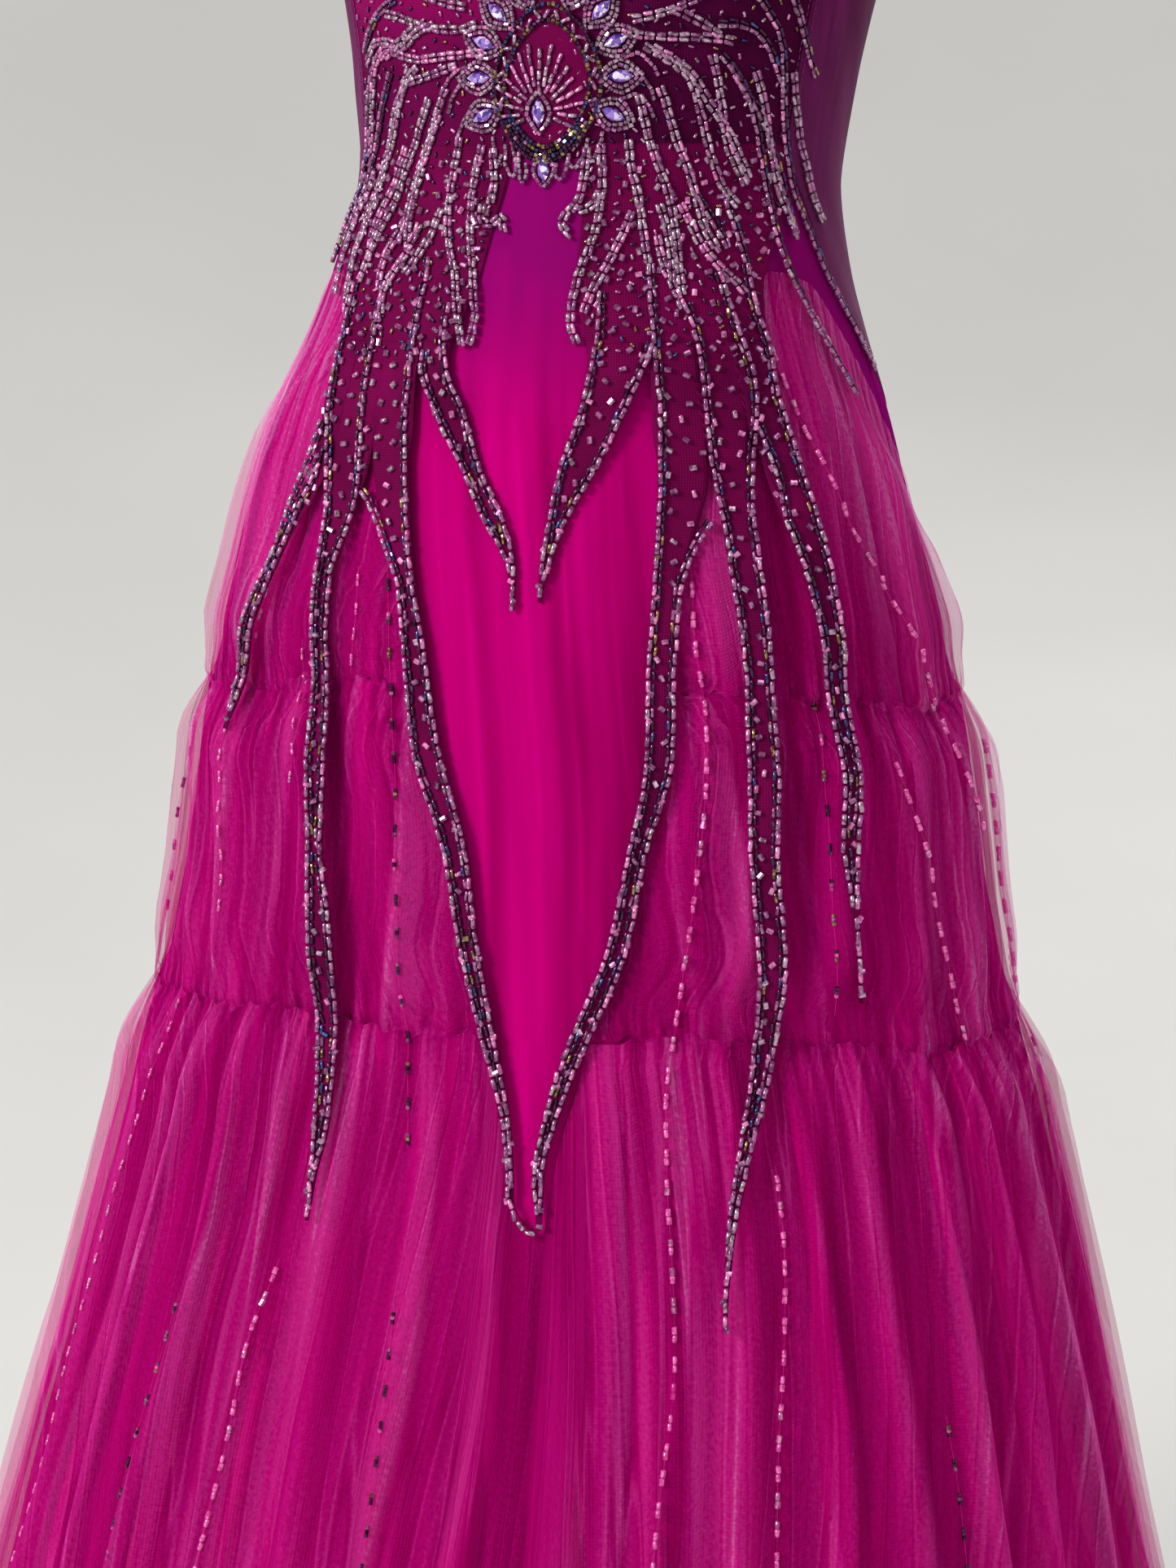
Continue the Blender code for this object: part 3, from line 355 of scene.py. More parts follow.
# Strands of beads that spray from the ornament: look, then (turn, height in millimetres) from start to end
STRANDS = (
    ("silver", (9.5, 10), (9.2, -6), (8, -18), (5.8, -24), (5.4, -29), (7.2, -33)),
    ("silver", (13, -12), (11.5, -19), (8.5, -22)),
    ("silver", (12.5, 12), (13.2, 0), (13.4, -14), (12.8, -28), (11.6, -40), (10, -50), (9, -60),
     (8.2, -70), (8.3, -80), (9.8, -90)),
    ("pink", (20.5, -22), (18.4, -34), (16, -46), (13.2, -58), (11, -71)),
    ("silver", (18.4, 14), (19.6, 0), (21.4, -12), (22.4, -24), (23.2, -36), (23.9, -46)),
    ("silver", (20.2, 36), (22.5, 19), (25, 4), (28, -10), (29.8, -26), (30.6, -45), (30.9, -64)),
    ("silver", (24.6, 40), (27.2, 27), (30, 11), (33, -2), (35, -16), (36.5, -28), (38.8, -39)),
    ("silver", (20.5, 60), (26, 53), (31, 44), (34, 30), (36.4, 16), (38.4, 4), (41, -8), (44.5, -18)),
    ("silver", (35.6, 56), (38, 42), (40, 27), (42, 12), (45, 0), (48, -12)),
    ("pink", (31.2, -18), (34, -30), (36.2, -40), (39.2, -49), (42.4, -56), (45.2, -64)),
    ("pink", (26, -34), (27.2, -48), (29.2, -60), (31, -72)),
    ("dark", (42.2, -10), (43.4, -24), (45, -36), (46, -47)),
    ("silver", (15.6, 66.5), (22, 64.5), (30, 64), (36, 63.5), (40, 62.5)),
    ("silver", (17.6, 72.5), (22.5, 75), (27, 78.5), (31, 84), (34, 91)),
    ("silver", (25.8, 77.5), (30, 73.5), (34, 69), (37, 65)),
    ("dark", (36, 71), (42, 70.5), (46.5, 66.5), (50, 59), (53, 50), (56, 40)),
    ("dark", (44, 86), (48.5, 76), (52.5, 65), (55, 50), (56.5, 33), (58.5, 18), (60.5, 4), (62.8, -11),
     (66, -24), (69.4, -39), (73.5, -56), (78, -72), (81.5, -84), (84.5, -96)),
    ("dark", (38, 56), (43, 45), (47, 33), (50, 19), (52, 4), (53.4, -8), (54.4, -22), (55.4, -35),
     (57.2, -48), (60, -63), (63, -80), (66, -97), (69, -114)),
    ("silver", (47, 48), (50.5, 33), (53, 18), (55, 5), (57, -9), (59.2, -22), (61, -33)),
    ("silver", (58, 48), (61, 30), (64, 15), (67.5, 0), (70, -12), (74, -27)),
    ("dark", (52, 90), (56, 78), (59.5, 66), (63, 55), (66, 47)),
    ("silver", (-12.4, 10), (-11.4, -6), (-11.6, -16)),
    ("silver", (-13.4, -18), (-13, -26), (-10.6, -28), (-8.8, -25), (-7.6, -31)),
    ("silver", (-15.2, 12), (-16.2, 0), (-16.6, -14), (-15.8, -28), (-14.6, -40), (-13.4, -52),
     (-12.2, -64), (-11.2, -76), (-11.8, -88)),
    ("silver", (-21.4, 16), (-22.2, 0), (-22.6, -14), (-21.8, -27), (-20, -40), (-17.8, -52), (-15.8, -66),
     (-14.4, -78), (-13.4, -88)),
    ("silver", (-24.4, -20), (-25.6, -32), (-27.8, -43), (-30.6, -53)),
    ("silver", (-24.8, 41), (-28.5, 24), (-31.5, 8), (-33.6, -6), (-34.6, -22), (-34.2, -37)),
    ("silver", (-30, 36), (-34, 18), (-37, 4), (-39.2, -12), (-41.2, -30), (-43, -45), (-44.4, -56)),
    ("silver", (-35.6, 52), (-39.4, 38), (-43, 20), (-46, 4), (-48, -14), (-49, -32), (-50, -48)),
    ("dark", (-43, 50), (-48, 32), (-52, 14), (-55, -4), (-57, -22), (-58, -40)),
    ("dark", (-49, 58), (-55, 40), (-58.6, 18), (-60.4, -4), (-61.4, -26), (-62, -46)),
    ("pink", (-35, -26), (-36.6, -40), (-37.4, -52), (-36.4, -64)),
    ("pink", (-29.6, -28), (-31.4, -40), (-33.4, -52), (-35, -64), (-33.6, -76)),
    ("pink", (-14.4, 57.5), (-20, 57), (-27, 56), (-33, 55.5), (-38, 58), (-42, 60), (-46, 56)),
    ("silver", (-16, 71.5), (-20, 69.5), (-26, 70), (-32, 73), (-38, 77.5), (-43, 80)),
    ("silver", (-27, 72.5), (-32, 69), (-36.5, 63), (-40, 60)),
    ("silver", (-21.6, 52), (-26, 49), (-31, 46.5), (-35.6, 44.5)),
    ("silver", (-18.4, 80), (-24, 83), (-30, 88), (-35, 95)),
    ("dark", (-38, 86), (-45, 80), (-51, 71), (-56, 60)),
    ("silver", (-33, 52), (-37, 45), (-41, 34), (-44, 21), (-46.6, 6), (-48.6, -10), (-50.4, -28)),
    ("pink", (-40, 62), (-46, 61), (-50, 53), (-52.6, 40), (-54.6, 24), (-56.4, 6)),
    ("silver", (-33, 71), (-36, 68), (-39.5, 64), (-43, 65.5), (-49, 65), (-54, 57)),
    ("silver", (-27, 28), (-30, 14), (-32, 0), (-33.4, -15), (-33, -30), (-31.6, -42)),
    ("pink", (-38.6, 12), (-41, -4), (-43, -20), (-44, -34), (-42.6, -48)),
    ("silver", (-46.6, -16), (-48.6, -32), (-49.6, -46), (-48.6, -60), (-46.6, -72)),
    ("silver", (-52, 0), (-54, -18), (-55.4, -36), (-55.6, -52), (-54, -66)),
    ("pink", (-22, 90), (-27, 96), (-33, 105), (-38, 116)),
    ("silver", (22.4, 59.5), (28, 52.5), (32.5, 44), (36, 33), (39.5, 24), (43, 15), (46, 4), (48.6, -6)),
    ("dark", (40.5, 51.5), (45, 38), (49, 30), (53, 18), (56, 6), (58.6, -6), (60.4, -20), (61.4, -34)),
    ("silver", (82.6, -90), (84.6, -95), (86.4, -102)),
    ("dark", (33.4, -6), (36, -16), (38.4, -24), (40.6, -33), (42.4, -43)),
    ("silver", (26.4, -18), (28, -30), (29, -43), (29, -56)),
    ("pink", (22, 92), (27, 98), (33, 107), (38, 118)),
)

# Single rows of small beads close round the ornament, in the same form
LOOPS = (
    ("silver", (-9.5, 12), (-9, 3), (-7.6, -4), (-6.4, -2), (-6.4, 5)),
    ("silver", (-6, 8), (-5.6, -1), (-4.8, -7), (-3.9, -4), (-4.2, 3)),
    ("pink", (-8, 14), (-7.2, 7), (-6.2, 1)),
    ("silver", (9.6, 15), (8.8, 6), (7.2, 0), (5.8, 2), (5.2, 8)),
    ("silver", (5.6, 6), (5, -2), (3.8, -6), (2.8, -3), (2.8, 3)),
    ("pink", (8.2, 18), (7.4, 12), (6, 9)),
    ("silver", (-12.6, 16), (-12.2, 8), (-11, 2), (-10.2, 6)),
    ("silver", (12.8, 18), (12, 9), (10.8, 3), (10, 8)),
    ("pink", (16.4, 54), (19.4, 56), (22, 52), (24, 46)),
    ("silver", (16.8, 48), (20, 46), (22.4, 40), (23.6, 34)),
    ("silver", (16.4, 34), (19.6, 36), (22.4, 31), (24, 24)),
    ("pink", (-16.6, 50), (-20.2, 50), (-23.4, 46), (-25.4, 40)),
    ("silver", (-16.8, 42), (-20.4, 42), (-23, 36), (-24.4, 28)),
    ("silver", (-15, 28), (-18.4, 28), (-20.6, 22), (-21.8, 16)),
    ("pink", (-12.6, 82), (-17, 86), (-21, 94), (-24, 104)),
    ("silver", (12.6, 84), (17, 88), (21, 96), (24, 106)),
    ("silver", (-4, 94), (-6, 104), (-9, 116), (-13, 126)),
    ("silver", (4, 94), (6, 104), (9, 116), (13, 126)),
)
# How far each of a strand's two rows is from its middle, and the gaps between beads
STRAND_ASIDE = 0.00125
STRAND_GAP = 0.0008
PETAL_GAP = 0.0002
# The row of beads that joins two leaves at the foot of the V
V_TIP_ROW = ((-5.0, -0.532), (-4.2, -0.5405), (-3.0, -0.5465), (-1.9, -0.5485), (-1.1, -0.5455))

# Strings of beads that hang on the net, in the same form, from top to bottom
STRINGS = (
    ("pink", (49, -85), (51, -118), (53.2, -142), (57, -178), (61.4, -203), (64.6, -224), (67.4, -244),
     (70.4, -268), (73, -305), (74, -345)),
    ("pink", (26.2, -205), (25.6, -240), (26, -272), (24.8, -305), (23, -335), (20.8, -370), (18.6, -405),
     (16.4, -440), (14.4, -475), (13.8, -520), (14.2, -570), (14.2, -620), (12.8, -680), (12.4, -740),
     (12.8, -800)),
    ("pink", (27.4, -510), (27.6, -550), (26.8, -600), (25.6, -650), (25, -710), (24.4, -790)),
    ("pink", (56, -300), (58.2, -340), (60.2, -380), (61.6, -420), (62.2, -460)),
    ("dark", (44.6, -268), (44.4, -288), (43.2, -310), (42, -340), (40.8, -370), (39.8, -405),
     (38.6, -432)),
    ("dark", (46, -640), (46.6, -680), (46.6, -720), (46, -780)),
    ("faint", (-30.4, -205), (-30.2, -235), (-31, -262)),
    ("dark", (-25, -205), (-24.2, -232), (-23.3, -270), (-22.4, -310), (-21.6, -360), (-20.6, -415),
     (-19.2, -450), (-18, -510)),
    ("faint", (-40.6, -245), (-40.4, -280), (-39.4, -310), (-39.8, -330)),
    ("faint", (-55.4, -290), (-53.6, -325), (-52.4, -362), (-51.6, -400)),
    ("faint", (-49.6, -200), (-50.6, -225), (-52.4, -250)),
    ("faint", (-62.6, -450), (-62.2, -475), (-63.4, -510), (-64.2, -560), (-64, -620), (-64.6, -700),
     (-65, -780)),
    ("pink", (-32.6, -575), (-33.6, -620), (-33.4, -670), (-33.8, -740)),
    ("dark", (-17, -590), (-16.4, -640), (-16, -700), (-15.6, -770)),
    ("dark", (-44.6, -600), (-46, -650), (-47.2, -710), (-48.4, -780)),
)
# The same kind of strings round the sides and back, where nothing shows them: look, turn, top and end
BACK_STRINGS = (
    ("pink", 92, -0.300, -0.440), ("dark", 104, -0.480, -0.700), ("pink", 118, -0.230, -0.430),
    ("dark", 131, -0.330, -0.440), ("pink", 146, -0.480, -0.780), ("dark", 160, -0.240, -0.440),
    ("pink", 172, -0.520, -0.760), ("dark", 186, -0.300, -0.430), ("pink", 200, -0.480, -0.800),
    ("dark", 214, -0.240, -0.430), ("pink", 228, -0.500, -0.720), ("dark", 241, -0.310, -0.440),
    ("pink", 255, -0.480, -0.780), ("dark", 268, -0.300, -0.430),
)

# Beads: length, width
BUGLE = (0.0058, 0.0027)
DARK_BUGLE = (0.0050, 0.0019)
SHORT_BUGLE = (0.0050, 0.0024)
FAN_BUGLE = (0.0050, 0.0022)
LOOSE_BUGLE = (0.0038, 0.0028)
TINY_BUGLE = (0.0028, 0.0015)
SEED_BEAD = (0.0021, 0.0024)
PETAL_BEAD = (0.0027, 0.0021)
STRING_BEAD = (0.0042, 0.0028)
FAINT_BEAD = (0.0032, 0.0018)
STRING_SEED = (0.0020, 0.0022)
THREAD_RADIUS = 0.00010
STRING_LIFT = 0.0006
STRING_START = 0.006
STRING_UNEVEN = 0.0012
# How each kind of string is beaded: the bead, how many in a group, from group to group, and their look
STRING_KINDS = {
    "pink": (STRING_BEAD, 2, 0.0150, "rose"),
    "faint": (FAINT_BEAD, 2, 0.0140, "rose"),
    "dark": (STRING_SEED, 3, 0.0185, "faded"),
}
STITCH = (0.0026, 0.0005)
STITCH_GAP = 0.0010
COIL_TOOTH = (0.0032, 0.0009)
COIL_PITCH = 0.0012
BEAD_GAP = 0.0013
# How far a bead's axis is from the cloth, as a share of its width, and how far beads stray from their row
BEAD_REST = 0.48
BEAD_UNEVEN = 0.00016
BEAD_SIDES = 6
# The rings of a bead: share of its length from the middle, share of its width from the axis
BEAD_RINGS = ((-0.50, 0.34), (-0.42, 0.50), (0.42, 0.50), (0.50, 0.34))
# How far a leaf's dark row is from its pale row, and its pale row from its edge
ROW_APART = 0.0025
LEAF_ROW_IN = 0.0014
# Widths of a leaf below which its two dark rows become one, then none, and its pale rows become one
ONE_DARK_BELOW = 0.0098
NO_DARK_BELOW = 0.0064
ONE_ROW_BELOW = 0.0040
# How far loose beads keep from each other and from rows
SCATTER_APART = 0.0086
SCATTER_CLEAR = 0.0029
SCATTER_TRIES = 2600

# Shades of beads, and how often each comes in a row of each look
BEAD_SHADES = ("bead_silver", "bead_lilac", "bead_pink", "bead_dark", "bead_gold", "bead_blue", "bead_rose")
BEAD_LOOKS = {
    "silver": (0.62, 0.32, 0.06, 0.0, 0.0, 0.0, 0.0),
    "lilac": (0.14, 0.70, 0.16, 0.0, 0.0, 0.0, 0.0),
    "pink": (0.14, 0.36, 0.50, 0.0, 0.0, 0.0, 0.0),
    "loose": (0.20, 0.46, 0.32, 0.0, 0.01, 0.01, 0.0),
    "rose": (0.0, 0.0, 0.18, 0.0, 0.0, 0.0, 0.82),
    "dark": (0.02, 0.13, 0.0, 0.69, 0.08, 0.08, 0.0),
    "iris": (0.0, 0.03, 0.0, 0.52, 0.28, 0.17, 0.0),
    "faded": (0.0, 0.20, 0.0, 0.58, 0.12, 0.0, 0.10),
    "mixed": (0.24, 0.24, 0.08, 0.26, 0.12, 0.06, 0.0),
    "plain": (1.0,),
}

# The ornament at the waist and the stones round it
ORNAMENT_Z = 0.045
ORNAMENT_HALF_WIDTH = 0.027
ORNAMENT_HALF_HEIGHT = 0.038
ORNAMENT_POWER = 1.7
# The frames and the fan sit a little below the cushion's middle, the outer frame round its edge
FRAME_DROP = 0.0034
STONE_LENGTH = 0.0134
STONE_WIDTH = 0.0064
STONE_HEIGHT = 0.0030
STONE_RING_X = 0.0375
STONE_RING_Z = 0.0460
STONE_ANGLES = (22, 46, 68, 90, 114, 180, 246, 270, 292, 314, 338)
STONE_SEAT = 0.0006
# How much wider than a stone its inner and outer rings of beads are
STONE_RING_WIDER = (0.0044, 0.0100)
# A stone's outline has this many points. Its rings, from below: share of the outline, share of the height
STONE_SIDES = 16
STONE_RINGS = ((0.86, 0.0), (1.0, 0.32), (0.74, 0.78), (0.46, 1.0))
# Where the fan's rays start, and the frames' reach as shares of the ornament's, with two more along its foot
FAN_TURN = -1.6
FAN_Z = 0.0275
FRAME_SHARES = (1.03, 0.82)
LOW_FRAME_SHARES = (0.96, 0.89)
FRAME_BUGLES = 19
FAN_RAYS = 17

# The zip at the centre back
ZIP_HALF_WIDTH = 0.0045
ZIP_WALL = 0.0012
SLIDER_TOP_DROP = 0.010
SLIDER_WIDTH = 0.0086
SLIDER_LENGTH = 0.011
SLIDER_HEIGHT = 0.0018
SLIDER_SEAT = 0.0004
LUG_THICKNESS = 0.0014
LUG_SIZE = 0.0030
LUG_GAP = 0.0003
TAB_PIVOT_HEIGHT = 0.0032
TAB_BARREL_RADIUS = 0.0009
TAB_BARREL_LENGTH = 0.0040
TAB_WIDTH = 0.0034
TAB_LENGTH = 0.022
TAB_THICKNESS = 0.0012
EDGE_ROLL = 0.0008
STITCH_IN = 0.0042
SEAM_STITCH = 0.0022


def unit(vectors):
    """The same directions, with lengths of 1."""
    return vectors / np.linalg.norm(vectors, axis=-1, keepdims=True)


def reach_along(points):
    """How far along a line each of its points is."""
    return np.concatenate([[0.0], np.cumsum(np.linalg.norm(np.diff(points, axis=0), axis=1))])


def read_along(spots, reach, rows):
    """The rows of numbers at spots along a line, between those at its points."""
    return np.stack([np.interp(spots, reach, column) for column in rows.T], axis=1)


def side_of(name):
    """1 for a piece on the right and -1 for one on the left."""
    return 1.0 if "right" in name else -1.0


def smooth_step(value):
    held = np.clip(value, 0.0, 1.0)
    return held * held * (3.0 - 2.0 * held)


def mix(low, high, share):
    return low + (high - low) * share


def table_slope(rows, index, column):
    """The slope of one column at a row, flat where the column turns back."""
    if index in (0, len(rows) - 1):
        return 0.0
    before, here, after = (rows[index + step] for step in (-1, 0, 1))
    rise_in = (here[column] - before[column]) / (here[0] - before[0])
    rise_out = (after[column] - here[column]) / (after[0] - here[0])
    if rise_in * rise_out <= 0:
        return 0.0
    return 2.0 * rise_in * rise_out / (rise_in + rise_out)


def curve(table, column=1):
    """A column of a table as a smooth function of its first column, for whole arrays of keys."""
    rows = sorted(table)
    keys = np.linspace(rows[0][0], rows[-1][0], CURVE_STEPS)
    values = []
    index = 0
    for key in keys:
        while index < len(rows) - 2 and rows[index + 1][0] < key:
            index += 1
        low, high = rows[index], rows[index + 1]
        span = high[0] - low[0]
        t = min((key - low[0]) / span, 1.0)
        slope_low = table_slope(rows, index, column) * span
        slope_high = table_slope(rows, index + 1, column) * span
        cubic = 2 * t**3 - 3 * t**2
        values.append(low[column] * (cubic + 1) + slope_low * (t**3 - 2 * t**2 + t)
                      - high[column] * cubic + slope_high * (t**3 - t**2))
    return lambda key: np.interp(key, keys, values)


section = {name: curve(SECTIONS, i) for i, name in enumerate(SECTION_COLUMNS) if i}
net_stand = {name: curve(NET_STAND, i) for i, name in enumerate(NET_STAND_COLUMNS) if i}
net_hang = curve(NET_HANG)
neckline_curve = curve(NECKLINE)
basque_curve = curve(BASQUE)
net_top_right = curve(NET_TOP_RIGHT)
net_top_left = curve(NET_TOP_LEFT)
net_v = curve(NET_V)
net_edge_right = curve(NET_EDGE_RIGHT)
net_edge_left = curve(NET_EDGE_LEFT)
leaf_curves = {name: (curve(rows, 1), curve(rows, 2)) for name, rows in LEAVES.items()}


def leaf_edges(name):
    """The side that a leaf is on, and its two edges as turns to read at any height."""
    return (side_of(name), *leaf_curves[name])


def metres_a_degree(z):
    """How long a degree round the dress is at a height."""
    return math.radians(1.0) * section["half_width"](z)


def half_turn(turn):
    wrapped = np.abs(turn) % 360.0
    return np.minimum(wrapped, 360.0 - wrapped)


def place(turn, z, out):
    """Points at turns and heights, out from the inner face of the satin."""
    turn, z, out = (np.asarray(value, dtype=float) for value in np.broadcast_arrays(turn, z, out))
    angle = np.radians(turn + section["front_line_turn"](z))
    width = section["half_width"](z)
    depth = np.where(np.cos(angle) > 0, section["front"](z), section["back"](z))
    away_x, away_y = depth * np.sin(angle), -width * np.cos(angle)
    length = np.hypot(away_x, away_y)
    across = (half_turn(turn) - CUP_TURN) / CUP_TURN_SPREAD
    up = (z - CUP_Z) / CUP_Z_SPREAD
    reach = out + CUP_OUT * np.exp(-across * across - up * up)
    x = section["centre_x"](z) + width * np.sin(angle) + away_x / length * reach
    y = -depth * np.cos(angle) + away_y / length * reach
    return np.stack([x, y, z], axis=-1)


def neckline(turn):
    return neckline_curve(half_turn(turn))


def basque(turn):
    return basque_curve(half_turn(turn))


def net_top(turn):
    return np.where(np.asarray(turn) > 0, net_top_right(half_turn(turn)), net_top_left(half_turn(turn)))


def net_edge(z, turn):
    """How far round the net's front edge is, on the side that the turn is on."""
    return np.where(np.asarray(turn) > 0, net_edge_right(z), net_edge_left(z))


def tier_3_top(turn):
    inside = (turn > NET_V[0][0]) & (turn < NET_V[-1][0])
    return np.where(inside, net_v(turn), TIER_2_SEAM_Z - SEAM)


def wrapped(turn):
    """The same turn, from -180 to 180."""
    return (np.asarray(turn, dtype=float) + BACK) % (2.0 * BACK) - BACK


def seam_sway(turn, seam):
    """How far a gathered seam of the net is above its plain height, with small steps where gathers bunch."""
    turn = wrapped(turn)
    seed = round(seam * 100)
    slow = np.sin(np.radians(turn) * 5.0 + seed) + 0.6 * np.sin(np.radians(turn) * 13.0 + 2.0 * seed)
    steps = SEAM_STEPS * (ripple(turn / 4.3, seed) - 0.5) * smooth_step((BACK - np.abs(turn)) / 8.0)
    left, right = SEAM_DROPS[seam]
    sides = smooth_step((np.abs(turn) - SEAM_DROP_FROM) / 26.0) * smooth_step((170.0 - np.abs(turn)) / 60.0)
    return SEAM_SWAY * slow + steps - np.where(turn > 0, right, left) * sides


def satin_fold_limit(turn, z):
    fade = smooth_step((WINDOW_TURN + WINDOW_SPARE_TURN - np.abs(turn)) / WINDOW_FADE)
    return WINDOW_FOLD_OUT * fade * smooth_step((WINDOW_TOP_Z + WINDOW_SPARE_Z - z) / WINDOW_TOP_FADE)


def satin_fold(turn, z):
    """The satin's soft folds inside the V, with a finer one over them, uneven from top to bottom."""
    fade = smooth_step((WINDOW_TURN - np.abs(turn)) / WINDOW_FADE)
    fade = fade * smooth_step((WINDOW_TOP_Z - z) / WINDOW_TOP_FADE)
    fade = fade * smooth_step((z - WINDOW_END_Z) / WINDOW_END_FADE)
    drift = 1.6 * np.sin(z * 11.0 + 0.6) + 0.9 * np.sin(z * 23.0 + turn * 0.11)
    wave = 0.5 + 0.5 * np.cos(np.radians(turn + drift) * 180.0 * WINDOW_FOLDS / WINDOW_TURN)
    fine = 0.5 + 0.5 * np.cos(np.radians(turn * 1.9 - drift) * 180.0 * WINDOW_FOLDS / WINDOW_TURN + 1.0)
    return WINDOW_FOLD_OUT * fade * (0.72 * wave + 0.28 * fine)


def window_drape(turn, z):
    """Bigger soft folds where the satin hangs free inside the V, and their painted shade: how light they are
    painted.
    """
    metres = metres_a_degree(z)
    free = smooth_step(((net_edge(z, turn) - 1.0 - np.abs(turn)) * metres) / 0.014)
    free = free * smooth_step((leaf_distance(turn, z) - 0.002) / 0.014) * (z > TIER_2_SEAM_Z - 0.1)
    along = turn * metres
    sway = 0.20 * np.sin(z * 9.0 + 1.0) + 0.06 * np.sin(z * 27.0 + along * 12.0)
    broad = ripple(along / DRAPE_BROAD + 0.8 * sway, 2.0)
    fine = ripple(along / DRAPE_FINE + 1.3 * sway, 5.0) ** 2.0
    crease = ripple(along / DRAPE_CREASE + 1.6 * sway, 9.0) ** 5.0 * ripple(z / 0.12 + along * 20.0, 3.0)
    hang = smooth_step((-0.06 - z) / 0.10)
    out = WINDOW_DRAPE * free * hang * (0.62 * broad + 0.26 * fine + 0.12 * crease)
    # Painted shade on the folds: lighter on the broad ridges, the finer ones and the creases
    light = 0.15 + 0.46 * broad + 0.17 * fine + 0.26 * crease
    # Painted shade: lower down and right of the centre the satin is painted darker, away from the light
    light = light - 0.20 * smooth_step((turn - 1.0) / 7.0) * smooth_step((-0.20 - z) / 0.10)
    # Above the hanging folds the painted shade is a softer, uneven light and dark
    upper = 0.34 + 0.34 * ripple(along / 0.021 + sway, 4.0) * ripple(z / 0.045 + along * 9.0, 6.0)
    return out, mix(upper, light, hang * smooth_step((WINDOW_TURN + 6.0 - np.abs(turn)) / 8.0))


def net_room(turn, z):
    """How far the net stands off its closest lie, before its folds."""
    edge = np.where(z > TIER_2_SEAM_Z, net_edge(z, turn), TIER_3_STAND_FROM)
    share = smooth_step((half_turn(turn) - edge) / NET_STAND_REACH)
    top = np.where(z > TIER_1_SEAM_Z, smooth_step((net_top(turn) - z) / NET_TOP_REACH), 1.0)
    return mix(net_stand["front"](z), net_stand["side"](z), share) * top


def net_fold(turn, z):
    return np.minimum(net_stand["fold"](z), FOLD_LIMIT * net_room(turn, z))


def net_cover(turn, z):
    """0 where the satin is bare and 1 where the net covers it, rising just before the net's edge."""
    beside = (np.abs(turn) - net_edge(z, turn)) * math.radians(1.0) * section["half_width"](z)
    below = net_top(turn) - z
    inside = np.maximum.reduce([tier_3_top(turn + nearby) - z for nearby in (-V_NEARBY, 0.0, V_NEARBY)])
    upper = np.maximum(inside, np.minimum(beside, below))
    inside = np.where(z > TIER_2_SEAM_Z, upper, inside)
    return smooth_step((inside + COVER_START) / COVER_RISE)


def cover_out(turn, z):
    """The inner face of what lies on the satin and, past its edge, on the net's outer folds."""
    turn, z = np.broadcast_arrays(np.asarray(turn, dtype=float), np.asarray(z, dtype=float))
    limit = satin_fold_limit(turn, z)
    over_net = (SATIN + NET_EDGE_GAP + limit + net_room(turn, z) + net_fold(turn, z) * max(FOLD_HEIGHTS)
                + NET + LAID_ON_NET)
    return mix(SATIN + LAID_ON + limit, over_net, net_cover(turn, z))


def mesh_face(turn, z):
    """How far out the beaded mesh lies."""
    return cover_out(turn, z) + MESH * 0.6


def leaf_distance(turn, z):
    """About how far a place on the net is from the nearest leaf."""
    nearest = np.full(np.broadcast(turn, z).shape, 1.0)
    metres = metres_a_degree(z)
    for name, rows in LEAVES.items():
        side, near, far = leaf_edges(name)
        held = np.clip(z, rows[-1][0], 1.0)
        beside = np.maximum.reduce([near(held) - side * turn, side * turn - far(held), 0.0 * turn]) * metres
        nearest = np.minimum(nearest, np.hypot(beside, held - z))
    return nearest


def seam_distance(turn, z):
    """How far a place is from the nearest gathered seam."""
    return np.minimum.reduce([np.abs(z - seam - seam_sway(turn, seam)) for seam in SEAM_DROPS])


def puff(turn, z):
    """How far the net swells out past its solid, between the leaves and away from the seams."""
    free = smooth_step((leaf_distance(turn, z) - 0.002) / PUFF_REACH)
    hung = smooth_step((net_top(turn) - z) / 0.05)
    hung = hung * smooth_step((NET_V_TOP_Z - z + half_turn(turn) * 0.01) / 0.05)
    seams = smooth_step(seam_distance(turn, z) / PUFF_SEAM) * smooth_step((PUFF_END - half_turn(turn)) / 22.0)
    return PUFF * free * hung * seams * net_cover(turn, z + 0.012)


def fold_wave(share, folds):
    """The height of a gathered edge's folds at shares from 0 to 1 along it."""
    widths = np.array([FOLD_WIDTHS[i % len(FOLD_WIDTHS)] for i in range(folds)])
    heights = np.array([FOLD_HEIGHTS[i % len(FOLD_HEIGHTS)] for i in range(folds + 1)])
    heights[-1] = 1.0
    ends = np.cumsum(widths) / widths.sum()
    held = np.clip(share, 0.0, 1.0 - 1e-9)
    index = np.minimum(np.searchsorted(ends, held, side="right"), folds - 1)
    start = ends[index] - widths[index] / widths.sum()
    within = (held - start) / (ends[index] - start) * 3.0
    ridge = np.cos(0.5 * math.pi * np.clip(np.abs(within - 1.0), 0.0, 1.0)) ** 2
    valley = -FOLD_VALLEY * mix(heights[index], heights[index + 1], np.clip(within - 2.0, 0.0, 1.0))
    return valley + ridge * (1.0 + FOLD_VALLEY) * heights[index]


def ripple(along, seed):
    """An uneven wave from 0 to 1 with a wavelength of about 1, the same each run."""
    phase = seed * 1.7
    wave = (np.sin(math.tau * along + phase + 1.3 * np.sin(along * 0.71 + phase))
            + 0.55 * np.sin(math.tau * along * 1.63 + 2.1 * phase)
            + 0.35 * np.sin(math.tau * along * 0.37 + 0.6 * phase))
    return 0.5 + wave / 3.8


